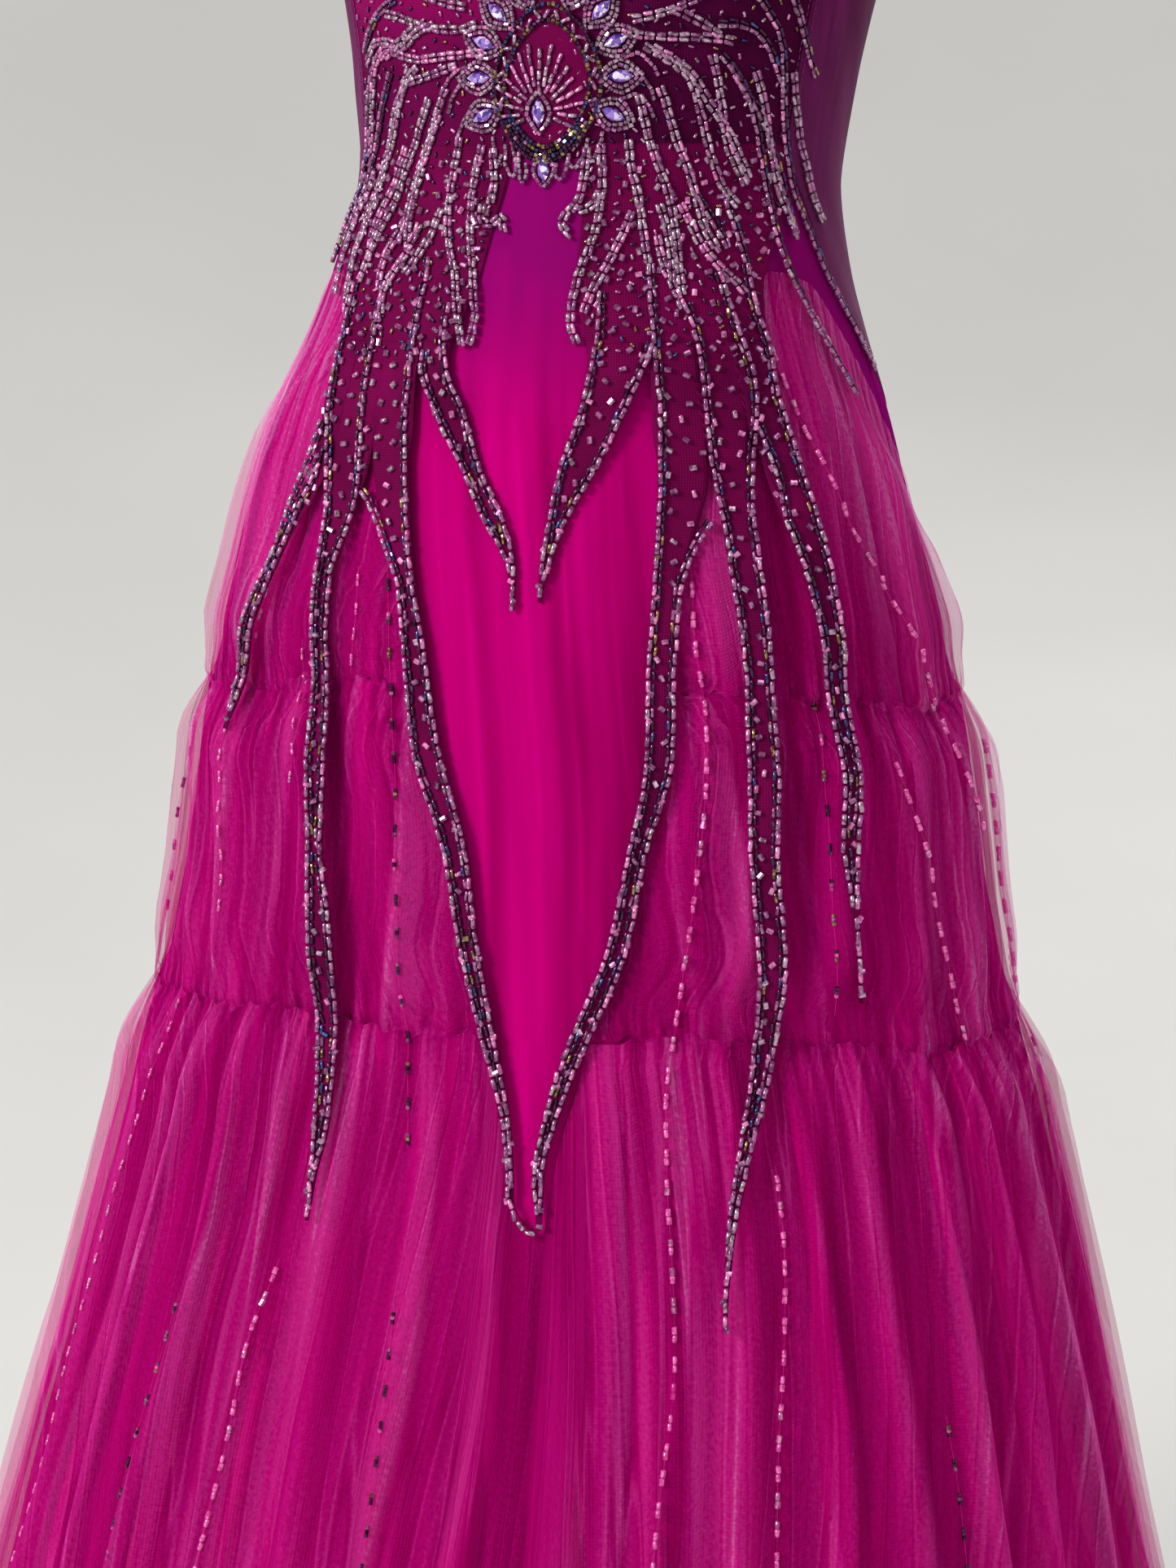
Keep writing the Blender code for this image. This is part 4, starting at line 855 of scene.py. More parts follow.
def pleat(along, spacing, seed):
    """Uneven pleats, each with one sharp edge: their height from 0 to 1, and a chance number for each."""
    count = along / spacing
    count = count + 0.30 * np.sin(0.9 * count + seed) + 0.18 * np.sin(2.3 * count + 2.0 * seed)
    number = np.floor(count)
    within = count - number
    lot = np.sin(number * 12.99 + seed * 78.23) * 437.585
    lot = lot - np.floor(lot)
    within = np.where((lot * 7.0) % 1.0 > 0.6, 1.0 - within, within)
    height = within ** 1.4 * smooth_step((1.0 - within) / PLEAT_EDGE)
    return height * (0.35 + 0.65 * lot), lot


# Materials

# Where the colours of the painted fold shade lie, from the deepest valley to the highest ridge
FOLD_STOPS = (0.12, 0.45, 0.85, 1.0)
# Glass of the beads: name, (place in the noise, colour) stops, roughness, metallic, clear coat
BEAD_GLASS = (
    ("bead_silver", ((0.38, (0.17, 0.065, 0.125)), (0.62, (0.58, 0.39, 0.53))), 0.15, 0.62, 0.2),
    ("bead_lilac", ((0.38, (0.15, 0.030, 0.115)), (0.62, (0.44, 0.17, 0.36))), 0.17, 0.55, 0.2),
    ("bead_pink", ((0.38, (0.40, 0.07, 0.26)), (0.62, (0.82, 0.30, 0.58))), 0.2, 0.6, 0.4),
    ("bead_rose", ((0.38, (0.56, 0.020, 0.26)), (0.64, (0.90, 0.18, 0.52))), 0.2, 0.35, 0.4),
    ("bead_dark", ((0.3, (0.018, 0.003, 0.018)), (0.52, (0.070, 0.014, 0.066)), (0.72, (0.07, 0.03, 0.10))),
     0.14, 0.85, 0.25),
    ("bead_gold", ((0.38, (0.10, 0.05, 0.02)), (0.62, (0.40, 0.28, 0.13))), 0.18, 0.85, 0.3),
    ("bead_blue", ((0.38, (0.03, 0.02, 0.11)), (0.62, (0.06, 0.09, 0.25))), 0.16, 0.85, 0.3),
)
# Threads: name, darker colour, lighter colour
THREADS = (
    ("thread", (0.50, 0.008, 0.18), (0.66, 0.03, 0.27)),
    ("stitch", (0.16, 0.012, 0.10), (0.24, 0.03, 0.16)),
    ("coil", (0.10, 0.008, 0.055), (0.18, 0.02, 0.11)),
)
# Mesh that lies on satin: name, darker colour, lighter colour, and that of its brighter places, where satin
# shows through and light is painted on
MESHES = (
    ("bodice_mesh", (0.038, 0.0005, 0.020), (0.070, 0.001, 0.034), (0.230, 0.001, 0.085)),
    ("wine_mesh", (0.094, 0.0005, 0.036), (0.148, 0.001, 0.055)),
)
# Layers of net: name, colours from the folds' valleys to their ridges, which are painted shade, with a fourth
# for the veil's painted sheen, opacity, streaks a metre, how strong the streaks are, seed
NETS = (
    ("net_lining", ((0.12, 0.0, 0.032), (0.28, 0.0, 0.079), (0.46, 0.0, 0.140)), 1.0, 70.0, 0.55, 3.0),
    ("net_middle", ((0.20, 0.0, 0.060), (0.45, 0.0, 0.145), (0.69, 0.002, 0.245)), 0.36, 110.0, 0.6, 7.0),
    ("net_veil", ((0.32, 0.0, 0.115), (0.60, 0.005, 0.255), (0.91, 0.066, 0.48), (1.0, 0.235, 0.72)),
     0.26, 150.0, 0.72, 11.0),
)


def set_inputs(material, node, inputs):
    """Fills inputs of a node: each with a number or a colour to hold, or with another node's output."""
    for name, value in inputs.items():
        if isinstance(value, bpy.types.NodeSocket):
            material.node_tree.links.new(value, node.inputs[name])
        else:
            node.inputs[name].default_value = value


def set_shader(material, inputs):
    set_inputs(material, material.node_tree.nodes["Principled BSDF"], inputs)


def new_material(name, colour, roughness, metallic=0.0):
    material = bpy.data.materials.new(name)
    material.use_nodes = True
    material.diffuse_color = (*colour, 1.0)
    set_shader(material, {"Base Color": (*colour, 1.0), "Roughness": roughness, "Metallic": metallic})
    return material


def add_node(material, kind, inputs=None, **settings):
    """A node of a material, with its settings and its inputs."""
    node = material.node_tree.nodes.new(kind)
    for name, value in settings.items():
        setattr(node, name, value)
    set_inputs(material, node, inputs or {})
    return node


def maths(material, operation, *values):
    """A number worked out from others, each a plain number or another node's output."""
    return add_node(material, "ShaderNodeMath", dict(enumerate(values)), operation=operation).outputs[0]


def solid_place(material):
    """Places in the dress's own space, in metres."""
    return add_node(material, "ShaderNodeTexCoord").outputs["Object"]


def cloth_coordinates(material, across, along):
    """The cloth's own coordinates in metres, scaled to threads a metre each way."""
    uv = add_node(material, "ShaderNodeTexCoord").outputs["UV"]
    scale = (across, along, 1.0)
    return add_node(material, "ShaderNodeMapping", {"Scale": scale, "Vector": uv}).outputs["Vector"]


def colour_ramp(material, value, colours):
    """Turns a value into a colour between (place, colour) stops."""
    ramp = add_node(material, "ShaderNodeValToRGB", {"Fac": value})
    stops = ramp.color_ramp.elements
    while len(stops) < len(colours):
        stops.new(0.5)
    for stop, (where, colour) in zip(stops, colours):
        stop.position = where
        stop.color = (*colour, 1.0)
    return ramp.outputs["Color"]


def colour_by_noise(material, colours, scale, detail=3.0):
    """Varies the base colour between (place, colour) stops with a soft noise."""
    noise = add_node(material, "ShaderNodeTexNoise", {"Scale": scale, "Detail": detail})
    set_inputs(material, noise, {"Vector": solid_place(material)})
    colour = colour_ramp(material, noise.outputs["Fac"], colours)
    set_shader(material, {"Base Color": colour})
    return colour


def add_weave(material, threads, strength, distance=0.0002):
    """Fine raised threads both ways, as bump."""
    coordinates = cloth_coordinates(material, threads, threads)
    split = add_node(material, "ShaderNodeSeparateXYZ", {"Vector": coordinates})
    waves = [maths(material, "SINE", maths(material, "MULTIPLY", split.outputs[axis], math.tau))
             for axis in ("X", "Y")]
    height = maths(material, "ADD", *waves)
    inputs = {"Strength": strength, "Distance": distance, "Height": height}
    bump = add_node(material, "ShaderNodeBump", inputs)
    set_shader(material, {"Normal": bump.outputs["Normal"]})


def mix_base(material, base, share, colour):
    """Shades the base colour into another one by a share from 0 to 1. Inputs 6 and 7 are its two colours."""
    inputs = {"Factor": share, 6: base, 7: (*colour, 1.0)}
    blend = add_node(material, "ShaderNodeMix", inputs, data_type="RGBA")
    set_shader(material, {"Base Color": blend.outputs[2]})


def mix_by_height(material, base, low_z, high_z, colour):
    """Shades a colour into another one from one height to a higher one."""
    split = add_node(material, "ShaderNodeSeparateXYZ", {"Vector": solid_place(material)})
    inputs = {"From Min": low_z, "From Max": high_z, "Value": split.outputs["Z"]}
    share = add_node(material, "ShaderNodeMapRange", inputs, interpolation_type="SMOOTHSTEP")
    mix_base(material, base, share.outputs["Result"], colour)


def mix_by_look(material, base, look, colour):
    """Shades a colour into another one by a number that the cloth carries at each point."""
    share = add_node(material, "ShaderNodeAttribute", attribute_name=look)
    mix_base(material, base, share.outputs["Fac"], colour)


def add_streaks(material, across, along, seed=0.0, detail=2.0):
    """Soft streaks that run down the cloth, from its own coordinates."""
    coordinates = cloth_coordinates(material, across, along)
    inputs = {"Scale": 1.0, "Detail": detail, "W": seed, "Vector": coordinates}
    return add_node(material, "ShaderNodeTexNoise", inputs, noise_dimensions="4D").outputs["Fac"]


def add_crease_lines(material, across, along, seed):
    """Thin sharp fold lines, each a lit ridge with its shadow beside it. It is 0.5 where there is none."""
    field = add_streaks(material, across, along, seed, 1.0)
    return colour_ramp(material, field, [(where, (grey, grey, grey)) for where, grey in CREASE_LINE])


def paint_fold_shade(material, colours, streaks, streak_share):
    """Painted shade: darker in the valleys of the folds and lighter on their ridges, with finer streaks of
    painted shade over that.

    The colours are dark, middle and light, with a fourth for the painted sheen where the net is hazy."""
    fold = add_node(material, "ShaderNodeAttribute", attribute_name="shade").outputs["Fac"]
    level = maths(material, "MULTIPLY_ADD", streaks, streak_share, fold)
    level = maths(material, "SUBTRACT", level, streak_share * 0.5)
    colour = colour_ramp(material, level, list(zip(FOLD_STOPS, colours)))
    set_shader(material, {"Base Color": colour})
    return colour


def satin_material():
    """Magenta satin that shades to purple towards the waist."""
    material = new_material("satin", (0.60, 0.0, 0.20), 0.5)
    streaks = add_streaks(material, 26.0, 2.2, 1.0)
    # Painted shade: darker in the drape's valleys, lighter on its ridges
    colours = ((0.24, 0.0, 0.075), (0.40, 0.0, 0.132), (0.54, 0.0, 0.185))
    base = paint_fold_shade(material, colours, streaks, 0.35)
    mix_by_look(material, base, "waist", (0.195, 0.002, 0.115))
    add_weave(material, 1600.0, 0.05)
    set_shader(material, {"Specular IOR Level": 0.0, "Sheen Weight": 0.03, "Sheen Roughness": 0.4,
                          "Sheen Tint": (1.0, 0.05, 0.7, 1.0)})
    return material


def side_satin_material():
    """Plum satin under a fine mesh, for the sides and back of the bodice."""
    material = new_material("side_satin", (0.10, 0.010, 0.060), 0.45)
    streaks = add_streaks(material, 60.0, 14.0, 2.0)
    base = colour_ramp(material, streaks, ((0.35, (0.090, 0.004, 0.052)), (0.65, (0.140, 0.008, 0.086))))
    mix_by_height(material, base, 0.10, -0.12, (0.140, 0.016, 0.092))
    add_weave(material, 1100.0, 0.25, 0.0003)
    set_shader(material, {"Specular IOR Level": 0.03, "Sheen Weight": 0.03, "Sheen Roughness": 0.35,
                          "Sheen Tint": (0.9, 0.4, 0.75, 1.0)})
    return material


def mesh_material(name, dark, light, bright=None):
    """Dark mesh that lies on the satin: fine holes show as a lighter grain. It may be brighter in places:
    part satin, part painted light.
    """
    material = new_material(name, dark, 0.6)
    base = colour_by_noise(material, ((0.35, dark), (0.65, light)), 22.0)
    if bright:
        mix_by_look(material, base, "shade", bright)
    add_weave(material, 700.0, 0.35, 0.0003)
    set_shader(material, {"Specular IOR Level": 0.02, "Sheen Weight": 0.02,
                          "Sheen Tint": (1.0, 0.2, 0.6, 1.0)})
    return material


def net_material(name, colours, alpha, across, streak_share, seed):
    """Soft net with a fine grain, and thin creases and folds in painted shade. Each layer is as see-through
    as its number says.
    """
    material = new_material(name, colours[1], 0.75)
    streaks = add_streaks(material, across, 3.4, seed, 4.0)
    grain = add_streaks(material, 520.0, 430.0, seed, 0.0)
    level = maths(material, "MULTIPLY_ADD", grain, NET_GRAIN, streaks)
    creases = add_crease_lines(material, across * CREASES_ACROSS, 2.6, seed + 20.0)
    level = maths(material, "ADD", level, creases)
    level = maths(material, "SUBTRACT", level, NET_GRAIN * 0.5 + 0.5)
    paint_fold_shade(material, colours, level, streak_share)
    add_weave(material, 520.0, 0.35, 0.0003)
    set_shader(material, {"Alpha": alpha, "Specular IOR Level": 0.0})
    return material


def bead_material(name, colours, roughness, metallic, clear):
    """Glass beads: each one a little different, with a bright lining behind the glass."""
    material = new_material(name, colours[0][1], roughness, metallic)
    colour_by_noise(material, colours, 420.0, 1.0)
    set_shader(material, {"Coat Weight": clear, "Coat Roughness": 0.05})
    return material


def stone_material():
    """Faceted lavender glass: its violet tones vary from facet to facet, and patches going to nearly white
    are painted reflections.
    """
    material = new_material("stone", (0.42, 0.26, 0.72), 0.08, 0.25)
    inputs = {"Scale": 420.0, "Vector": solid_place(material)}
    cells = add_node(material, "ShaderNodeTexVoronoi", inputs)
    split = add_node(material, "ShaderNodeSeparateColor", {"Color": cells.outputs["Color"]})
    # Violet facets of the glass, with painted reflections where they go to nearly white
    colour = colour_ramp(material, split.outputs["Red"],
                         ((0.10, (0.06, 0.015, 0.22)), (0.45, (0.26, 0.12, 0.58)), (0.72, (0.52, 0.36, 0.86)),
                          (0.92, (0.94, 0.88, 1.0))))
    set_shader(material, {"Base Color": colour, "Coat Weight": 0.8, "Coat Roughness": 0.03})
    return material


def thread_material(name, dark, light):
    material = new_material(name, dark, 0.55)
    colour_by_noise(material, ((0.3, dark), (0.7, light)), 300.0, 1.0)
    set_shader(material, {"Specular IOR Level": 0.15})
    return material


def zip_tape_material():
    """Woven plum tape, with the ribs of its weave across it."""
    material = new_material("zip_tape", (0.12, 0.010, 0.070), 0.6)
    streaks = add_streaks(material, 40.0, 900.0, 5.0, 0.0)
    colour = colour_ramp(material, streaks, ((0.35, (0.075, 0.005, 0.042)), (0.65, (0.135, 0.012, 0.080))))
    add_weave(material, 1400.0, 0.3, 0.0002)
    set_shader(material, {"Base Color": colour, "Specular IOR Level": 0.1})
    return material


def zip_metal_material():
    """Plum-tinted metal, a little rubbed, with fine scratches."""
    material = new_material("zip_metal", (0.42, 0.33, 0.42), 0.3, 1.0)
    colour_by_noise(material, ((0.35, (0.34, 0.25, 0.34)), (0.65, (0.56, 0.48, 0.56))), 500.0, 4.0)
    inputs = {"Scale": (4000.0, 300.0, 300.0), "Vector": solid_place(material)}
    stretched = add_node(material, "ShaderNodeMapping", inputs).outputs["Vector"]
    noise = add_node(material, "ShaderNodeTexNoise", {"Scale": 1.0, "Vector": stretched})
    inputs = {"To Min": 0.18, "To Max": 0.42, "Value": noise.outputs["Fac"]}
    rough = add_node(material, "ShaderNodeMapRange", inputs)
    set_shader(material, {"Roughness": rough.outputs["Result"]})
    return material


def make_materials():
    made = {name: bead_material(name, *looks) for name, *looks in BEAD_GLASS}
    made["stone"] = stone_material()
    made.update({name: thread_material(name, *looks) for name, *looks in THREADS})
    made["zip_tape"] = zip_tape_material()
    made["zip_metal"] = zip_metal_material()
    made["satin"] = satin_material()
    made["side_satin"] = side_satin_material()
    made.update({name: mesh_material(name, *looks) for name, *looks in MESHES})
    made.update({name: net_material(name, *looks) for name, *looks in NETS})
    return made


# Cloth

def add_object(name, data):
    thing = bpy.data.objects.new(name, data)
    bpy.context.scene.collection.objects.link(thing)
    return thing


def attach(thing, nodes=(), body=DRESS):
    """Says what a piece rides on and which nodes of the frame it stands for."""
    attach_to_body(thing, body)
    if nodes:
        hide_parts(*nodes)


def mesh_of(name, points, corners, starts):
    """A mesh from its points, the point at each corner of each face, and where each face's corners start."""
    mesh = bpy.data.meshes.new(name)
    mesh.vertices.add(len(points))
    mesh.vertices.foreach_set("co", points.astype(np.float32).ravel())
    mesh.loops.add(len(corners))
    mesh.loops.foreach_set("vertex_index", corners.astype(np.int32))
    mesh.polygons.add(len(starts))
    mesh.polygons.foreach_set("loop_start", starts.astype(np.int32))
    return mesh


def finish_mesh(mesh):
    mesh.update(calc_edges=True)
    mesh.validate()
    mesh.shade_smooth()


def cloth_mesh(name, points, material, wall=0.0, **looks):
    """A sheet through a grid of points, with its own coordinates in metres. A wall gives it thickness.

    Each look is a number from 0 to 1 at every point, which the material reads by its name."""
    columns, rows = points.shape[:2]
    index = np.arange(columns * rows).reshape(columns, rows)
    quads = np.stack([index[:-1, :-1], index[:-1, 1:], index[1:, 1:], index[1:, :-1]], axis=-1).ravel()
    mesh = mesh_of(name, points.reshape(-1, 3), quads, np.arange(0, quads.size, 4))
    across, along = np.zeros((2, columns, rows))
    across[1:] = np.cumsum(np.linalg.norm(np.diff(points, axis=0), axis=-1), axis=0)
    across -= across[columns // 2]
    along[:, 1:] = np.cumsum(np.linalg.norm(np.diff(points, axis=1), axis=-1), axis=1)
    uv = np.stack([across, -along], axis=-1).reshape(-1, 2)
    layer = mesh.uv_layers.new(name="cloth")
    layer.uv.foreach_set("vector", uv[quads].astype(np.float32).ravel())
    finish_mesh(mesh)
    mesh.materials.append(material)
    for look, values in looks.items():
        layer = mesh.attributes.new(look, "FLOAT", "POINT")
        layer.data.foreach_set("value", values.astype(np.float32).ravel())
    thing = add_object(name, mesh)
    if wall:
        solid = thing.modifiers.new("wall", "SOLIDIFY")
        solid.thickness = wall
        solid.offset = -1.0
    return thing


def declare(thing, plain, nodes=()):
    """Says what a sheet is: what it rides on and what it stands for. The plain shape that it was cut to is
    not used.
    """
    attach(thing, nodes)


def strip_grid(turns, top, bottom, rows, closer_above=1.0):
    """Turns and heights for a strip of cloth between two edges, with its rows closer together above."""
    turns = np.asarray(turns, dtype=float)[:, None] * np.ones((1, rows))
    share = np.linspace(0.0, 1.0, rows)[None, :] ** closer_above
    return turns, mix(top(turns), bottom(turns), share)


def bodice(materials):
    """Front, sides and backs: smooth panels with the slight drag lines of a fitted bodice."""
    for name, first, last, columns, material, drag in BODICE_PANELS:
        ends = np.array([SEAM_MEET, *GROOVE_ENDS])
        between = np.linspace(first + 1.2, last - 1.2, columns)
        turns = np.concatenate([first + ends, between, last - ends[::-1]])
        turn, z = strip_grid(turns, neckline, basque, BODICE_ROWS)
        groove = GROOVE_DEPTH * (1.0 - smooth_step(np.minimum(turn - first, last - turn) / GROOVE_ENDS[1]))
        creases = drag * ripple((z * 14.0 + half_turn(turn) * 0.05), 3.0 + first) * smooth_step(
            (neckline(turn) - z) / 0.03)
        points = place(turn, z, SATIN + creases - groove)
        # The front is brighter towards the left, above the ornament, and less so near the neckline. Above the
        # ornament the magenta satin shows through the mesh; the brightening towards the left is painted light
        bright = smooth_step((26.0 - turn) / 44.0) * (0.28 + 0.72 * smooth_step((z - 0.045) / 0.055))
        bright = bright * mix(1.0, 0.55, smooth_step((z - 0.11) / 0.06))
        piece = cloth_mesh(name + "_cloth", points, materials[material], SATIN * 0.7, shade=bright)
        declare(piece, place(turn, z, SATIN), [name])


def underskirt(materials):
    """The satin under the net: its front shows in the V and on the right hip."""
    def top(turn):
        return basque(turn) - SEAM

    def bottom(turn):
        return np.full_like(turn, HEM_Z)

    for name, first, last, columns, rows, closer_in, closer_above in UNDERSKIRT_PANELS:
        share = np.linspace(-1.0, 1.0, columns)
        share = mix(share, share ** 3, closer_in)
        turns = mix(first + PANEL_END, last - PANEL_END, 0.5 + 0.5 * share)
        turn, z = strip_grid(turns, top, bottom, rows, closer_above)
        drape, light = window_drape(turn, z)
        points = place(turn, z, SATIN + satin_fold(turn, z) + drape)
        # The shade look is the drape's painted shade; the purple towards the waist is weaker where it is
        # painted lighter
        waist = smooth_step((z - basque(turn) + 0.155) / 0.115) * (1.0 - 0.30 * light)
        piece = cloth_mesh(name + "_cloth", points, materials["satin"], SATIN * 0.7, shade=light, waist=waist)
        declare(piece, place(turn, z, SATIN), [name])


def net_pleats(along, z, away, seed):
    """Small pleats that fan out from a gathered seam: their height, and how much lighter they are painted.

    "along" is a distance round the dress and "away" one from the seam."""
    height, light = 0.0, 0.0
    for index, (spacing, tall, run, bright) in enumerate(PLEATS):
        sway = (0.0030 * np.sin(z * 14.0 + seed + along * 11.0)
                + 0.0040 * np.sin(z * 5.0 + along * 5.0 + 2.0 * seed))
        ridge, lot = pleat(along + sway, spacing, seed + 2.3 * index)
        strength = np.exp(-(away / (run * (0.35 + 1.2 * lot))) ** 2)
        if index == len(PLEATS) - 1:
            strength = mix(0.45, 1.0, smooth_step(away / 0.06)) * strength
            light = light + PLEAT_STEP * (lot - 0.5) * strength
        height = height + tall * strength * ridge
        light = light + bright * strength * (ridge - 0.28)
    return height, light


def net_points(turn, z, share, folds, depth, fold_share, seed, top_z, bottom_z):
    """A layer of net: its distance out, and its painted shade, from 0 in the folds' valleys to 1 on their
    ridges.

    "share" runs from 0 to 1 along the layer. Its top and bottom are heights at each point."""
    room = net_room(turn, z)
    roomy = smooth_step(room / SMALL_ROOM)
    around = half_turn(turn)
    upper_tiers = top_z < TIER_1_SEAM_Z + 0.03
    base = SATIN + satin_fold_limit(turn, z) + NET_EDGE_GAP * depth
    wave = fold_wave(share + 0.006 * np.sin(z * 17.0 + share * 31.0 + seed), folds)
    near_seam = np.exp(-seam_distance(turn, z) / SEAM_PINCH)
    meet = near_seam * (z < net_top(turn) - 0.03)
    beside_leaf = 1.0 - smooth_step(leaf_distance(turn, z) / HANG_REACH)
    swell = room * mix(depth, 0.94, meet) * (1.0 - 0.14 * near_seam) * mix(net_hang(z), 1.0, beside_leaf)
    along = turn * metres_a_degree(np.full_like(z, TIER_2_SEAM_Z))
    away = np.minimum(np.clip(top_z - z, 0.0, 1.0), np.clip(z - bottom_z, 0.0, 1.0) * 1.6)
    flat = (1.0 - smooth_step((around - 8.0) / 4.0)) * (top_z < TIER_2_SEAM_Z + 0.02)
    space = puff(turn, z)
    pleats, light = net_pleats(along, z, np.maximum(away, 0.06 * flat), seed)
    give = np.minimum(1.0, (room + space + 0.0012) / 0.004) * (1.0 - 0.45 * near_seam)
    out = base + swell + space * depth * 0.5 + pleats * depth * give
    out = out + wave * net_fold(turn, z) * fold_share * (1.0 - 0.7 * near_seam)
    out = out - SEAM_GROOVE * np.exp(-seam_distance(turn, z) / SEAM_GROOVE_REACH) * meet * roomy
    out = out - HEM_TURN_IN * (smooth_step((bottom_z + HEM_TURN - z) / HEM_TURN) * roomy)
    sewn_under = smooth_step((z - top_z + SEAM_TUCK) / SEAM_TUCK) * upper_tiers * (1.0 - flat)
    out = out - SEAM_TUCK_IN * sewn_under
    highest = cover_out(turn, z) - 0.0005 + space + 0.004 * smooth_step((around - 58.0) / 20.0)
    out = np.clip(out, base, np.maximum(highest - (1.0 - depth) * 0.002, base))
    # Painted shadows just below a gathered seam and along a hem, uneven where the gathers bunch
    bunch = 0.6 + 0.8 * ripple(along / 0.011, seed)
    painted_seam_shadow = SEAM_SHADOW[0] * np.exp(-((top_z - z) / SEAM_SHADOW[1]) ** 2) * upper_tiers * (1.0 - flat) * bunch
    hem = HEM_SHADOW[0] * np.exp(-((z - bottom_z) / HEM_SHADOW[1]) ** 2) * bunch
    # Painted sheen on the outer net: paler above the first seam towards the sides, and on the right side
    painted_sheen = UPPER_PAINTED_SHEEN * smooth_step((z - TIER_1_SEAM_Z) / 0.130) * smooth_step((around - 32.0) / 18.0)
    turn = wrapped(turn)
    painted_sheen = painted_sheen + SIDE_PAINTED_SHEEN * smooth_step((turn - 48.0) / 25.0) * smooth_step((140.0 - turn) / 40.0)
    # Painted shade: lighter on ridges and pleats, darker in valleys, with the painted shadows and the painted
    # sheen
    shade = NET_SHADE + 0.15 * wave * roomy + light - painted_seam_shadow - hem + painted_sheen * depth ** 4
    return out, np.clip(shade, 0.0, 1.0)


def net_tier(materials, name, turn_at, top, bottom_z, folds, columns, rows, seed):
    """One panel of a tier, in three layers."""
    for index, (label, depth, fold_share, material, fineness) in enumerate(NET_LAYERS):
        wide, tall = int(columns * fineness), int(rows * fineness)
        share = np.linspace(0.0, 1.0, wide)[:, None] * np.ones((1, tall))
        down = np.linspace(0.0, 1.0, tall)[None, :]
        hemmed = bottom_z == NET_HEM_Z
        down = down ** 1.5 if hemmed else 0.5 - 0.5 * np.cos(math.pi * down)
        middle = turn_at(share[:, :1], np.full((wide, 1), mix(TIER_1_SEAM_Z, bottom_z, 0.5)))
        top_z = top(middle) * np.ones((1, tall))
        below = np.full_like(top_z, bottom_z) + (0.0 if hemmed else seam_sway(middle, bottom_z))
        z = mix(top_z, below, down)
        turn = turn_at(share, z)
        out, shade = net_points(turn, z, share, folds, depth, fold_share, seed + LAYER_SEED * index, top_z,
                                below - (NO_SEAM_BELOW if hemmed else 0.0))
        points = place(turn, z, out)
        piece = cloth_mesh("%s_%s" % (name, label), points, materials[material], shade=shade)
        plain = place(turn, z, SATIN + NET_EDGE_GAP + net_room(turn, z) * depth)
        nodes = [name] if label == "outer" else ()
        declare(piece, plain, nodes)


def seam_1_top(turn):
    return TIER_1_SEAM_Z + SEAM_TUCK + seam_sway(turn, TIER_1_SEAM_Z)


def seam_2_top(turn):
    """The upper edge of the lowest tier, which dips to a point in the V."""
    beside_v = smooth_step((half_turn(turn) - 8.5) / 3.0)
    tip = smooth_step((wrapped(turn) + 7.0) / 2.0) * smooth_step((1.5 - wrapped(turn)) / 2.0)
    return tier_3_top(turn) + V_TIP_LIFT * tip + (SEAM_TUCK + seam_sway(turn, TIER_2_SEAM_Z)) * beside_v


def net_tiers(materials):
    """Two tiers in halves that leave the V open in front, and the lowest tier all round."""
    upper_tiers = (("net_tier_1_", net_top, TIER_1_SEAM_Z, TIER_1_FOLDS, 321, TIER_SEEDS[0], 1.15),
                   ("net_tier_2_", seam_1_top, TIER_2_SEAM_Z, TIER_2_FOLDS, 401, TIER_SEEDS[1], 1.3))
    for side, label in ((1, "right"), (-1, "left")):
        def turn_at(share, z, side=side):
            near, far = (0.0, 1.0) if side > 0 else (1.0, 0.0)
            return mix(side * net_edge(z, side), side * (BACK - PANEL_END), mix(near, far, share))

        for tier, top, seam, folds, columns, seed, gather in upper_tiers:
            net_tier(materials, tier + label, turn_at, top, seam, folds, columns, 36, seed + side)
    for number, (name, first, last, columns, rows) in enumerate(LOW_NET_PANELS):
        def turn_at(share, z, first=first, last=last):
            return mix(first + PANEL_END, last - PANEL_END, share)

        net_tier(materials, name, turn_at, seam_2_top, NET_HEM_Z, TIER_3_FOLDS, columns, rows,
                 TIER_SEEDS[2] + number)


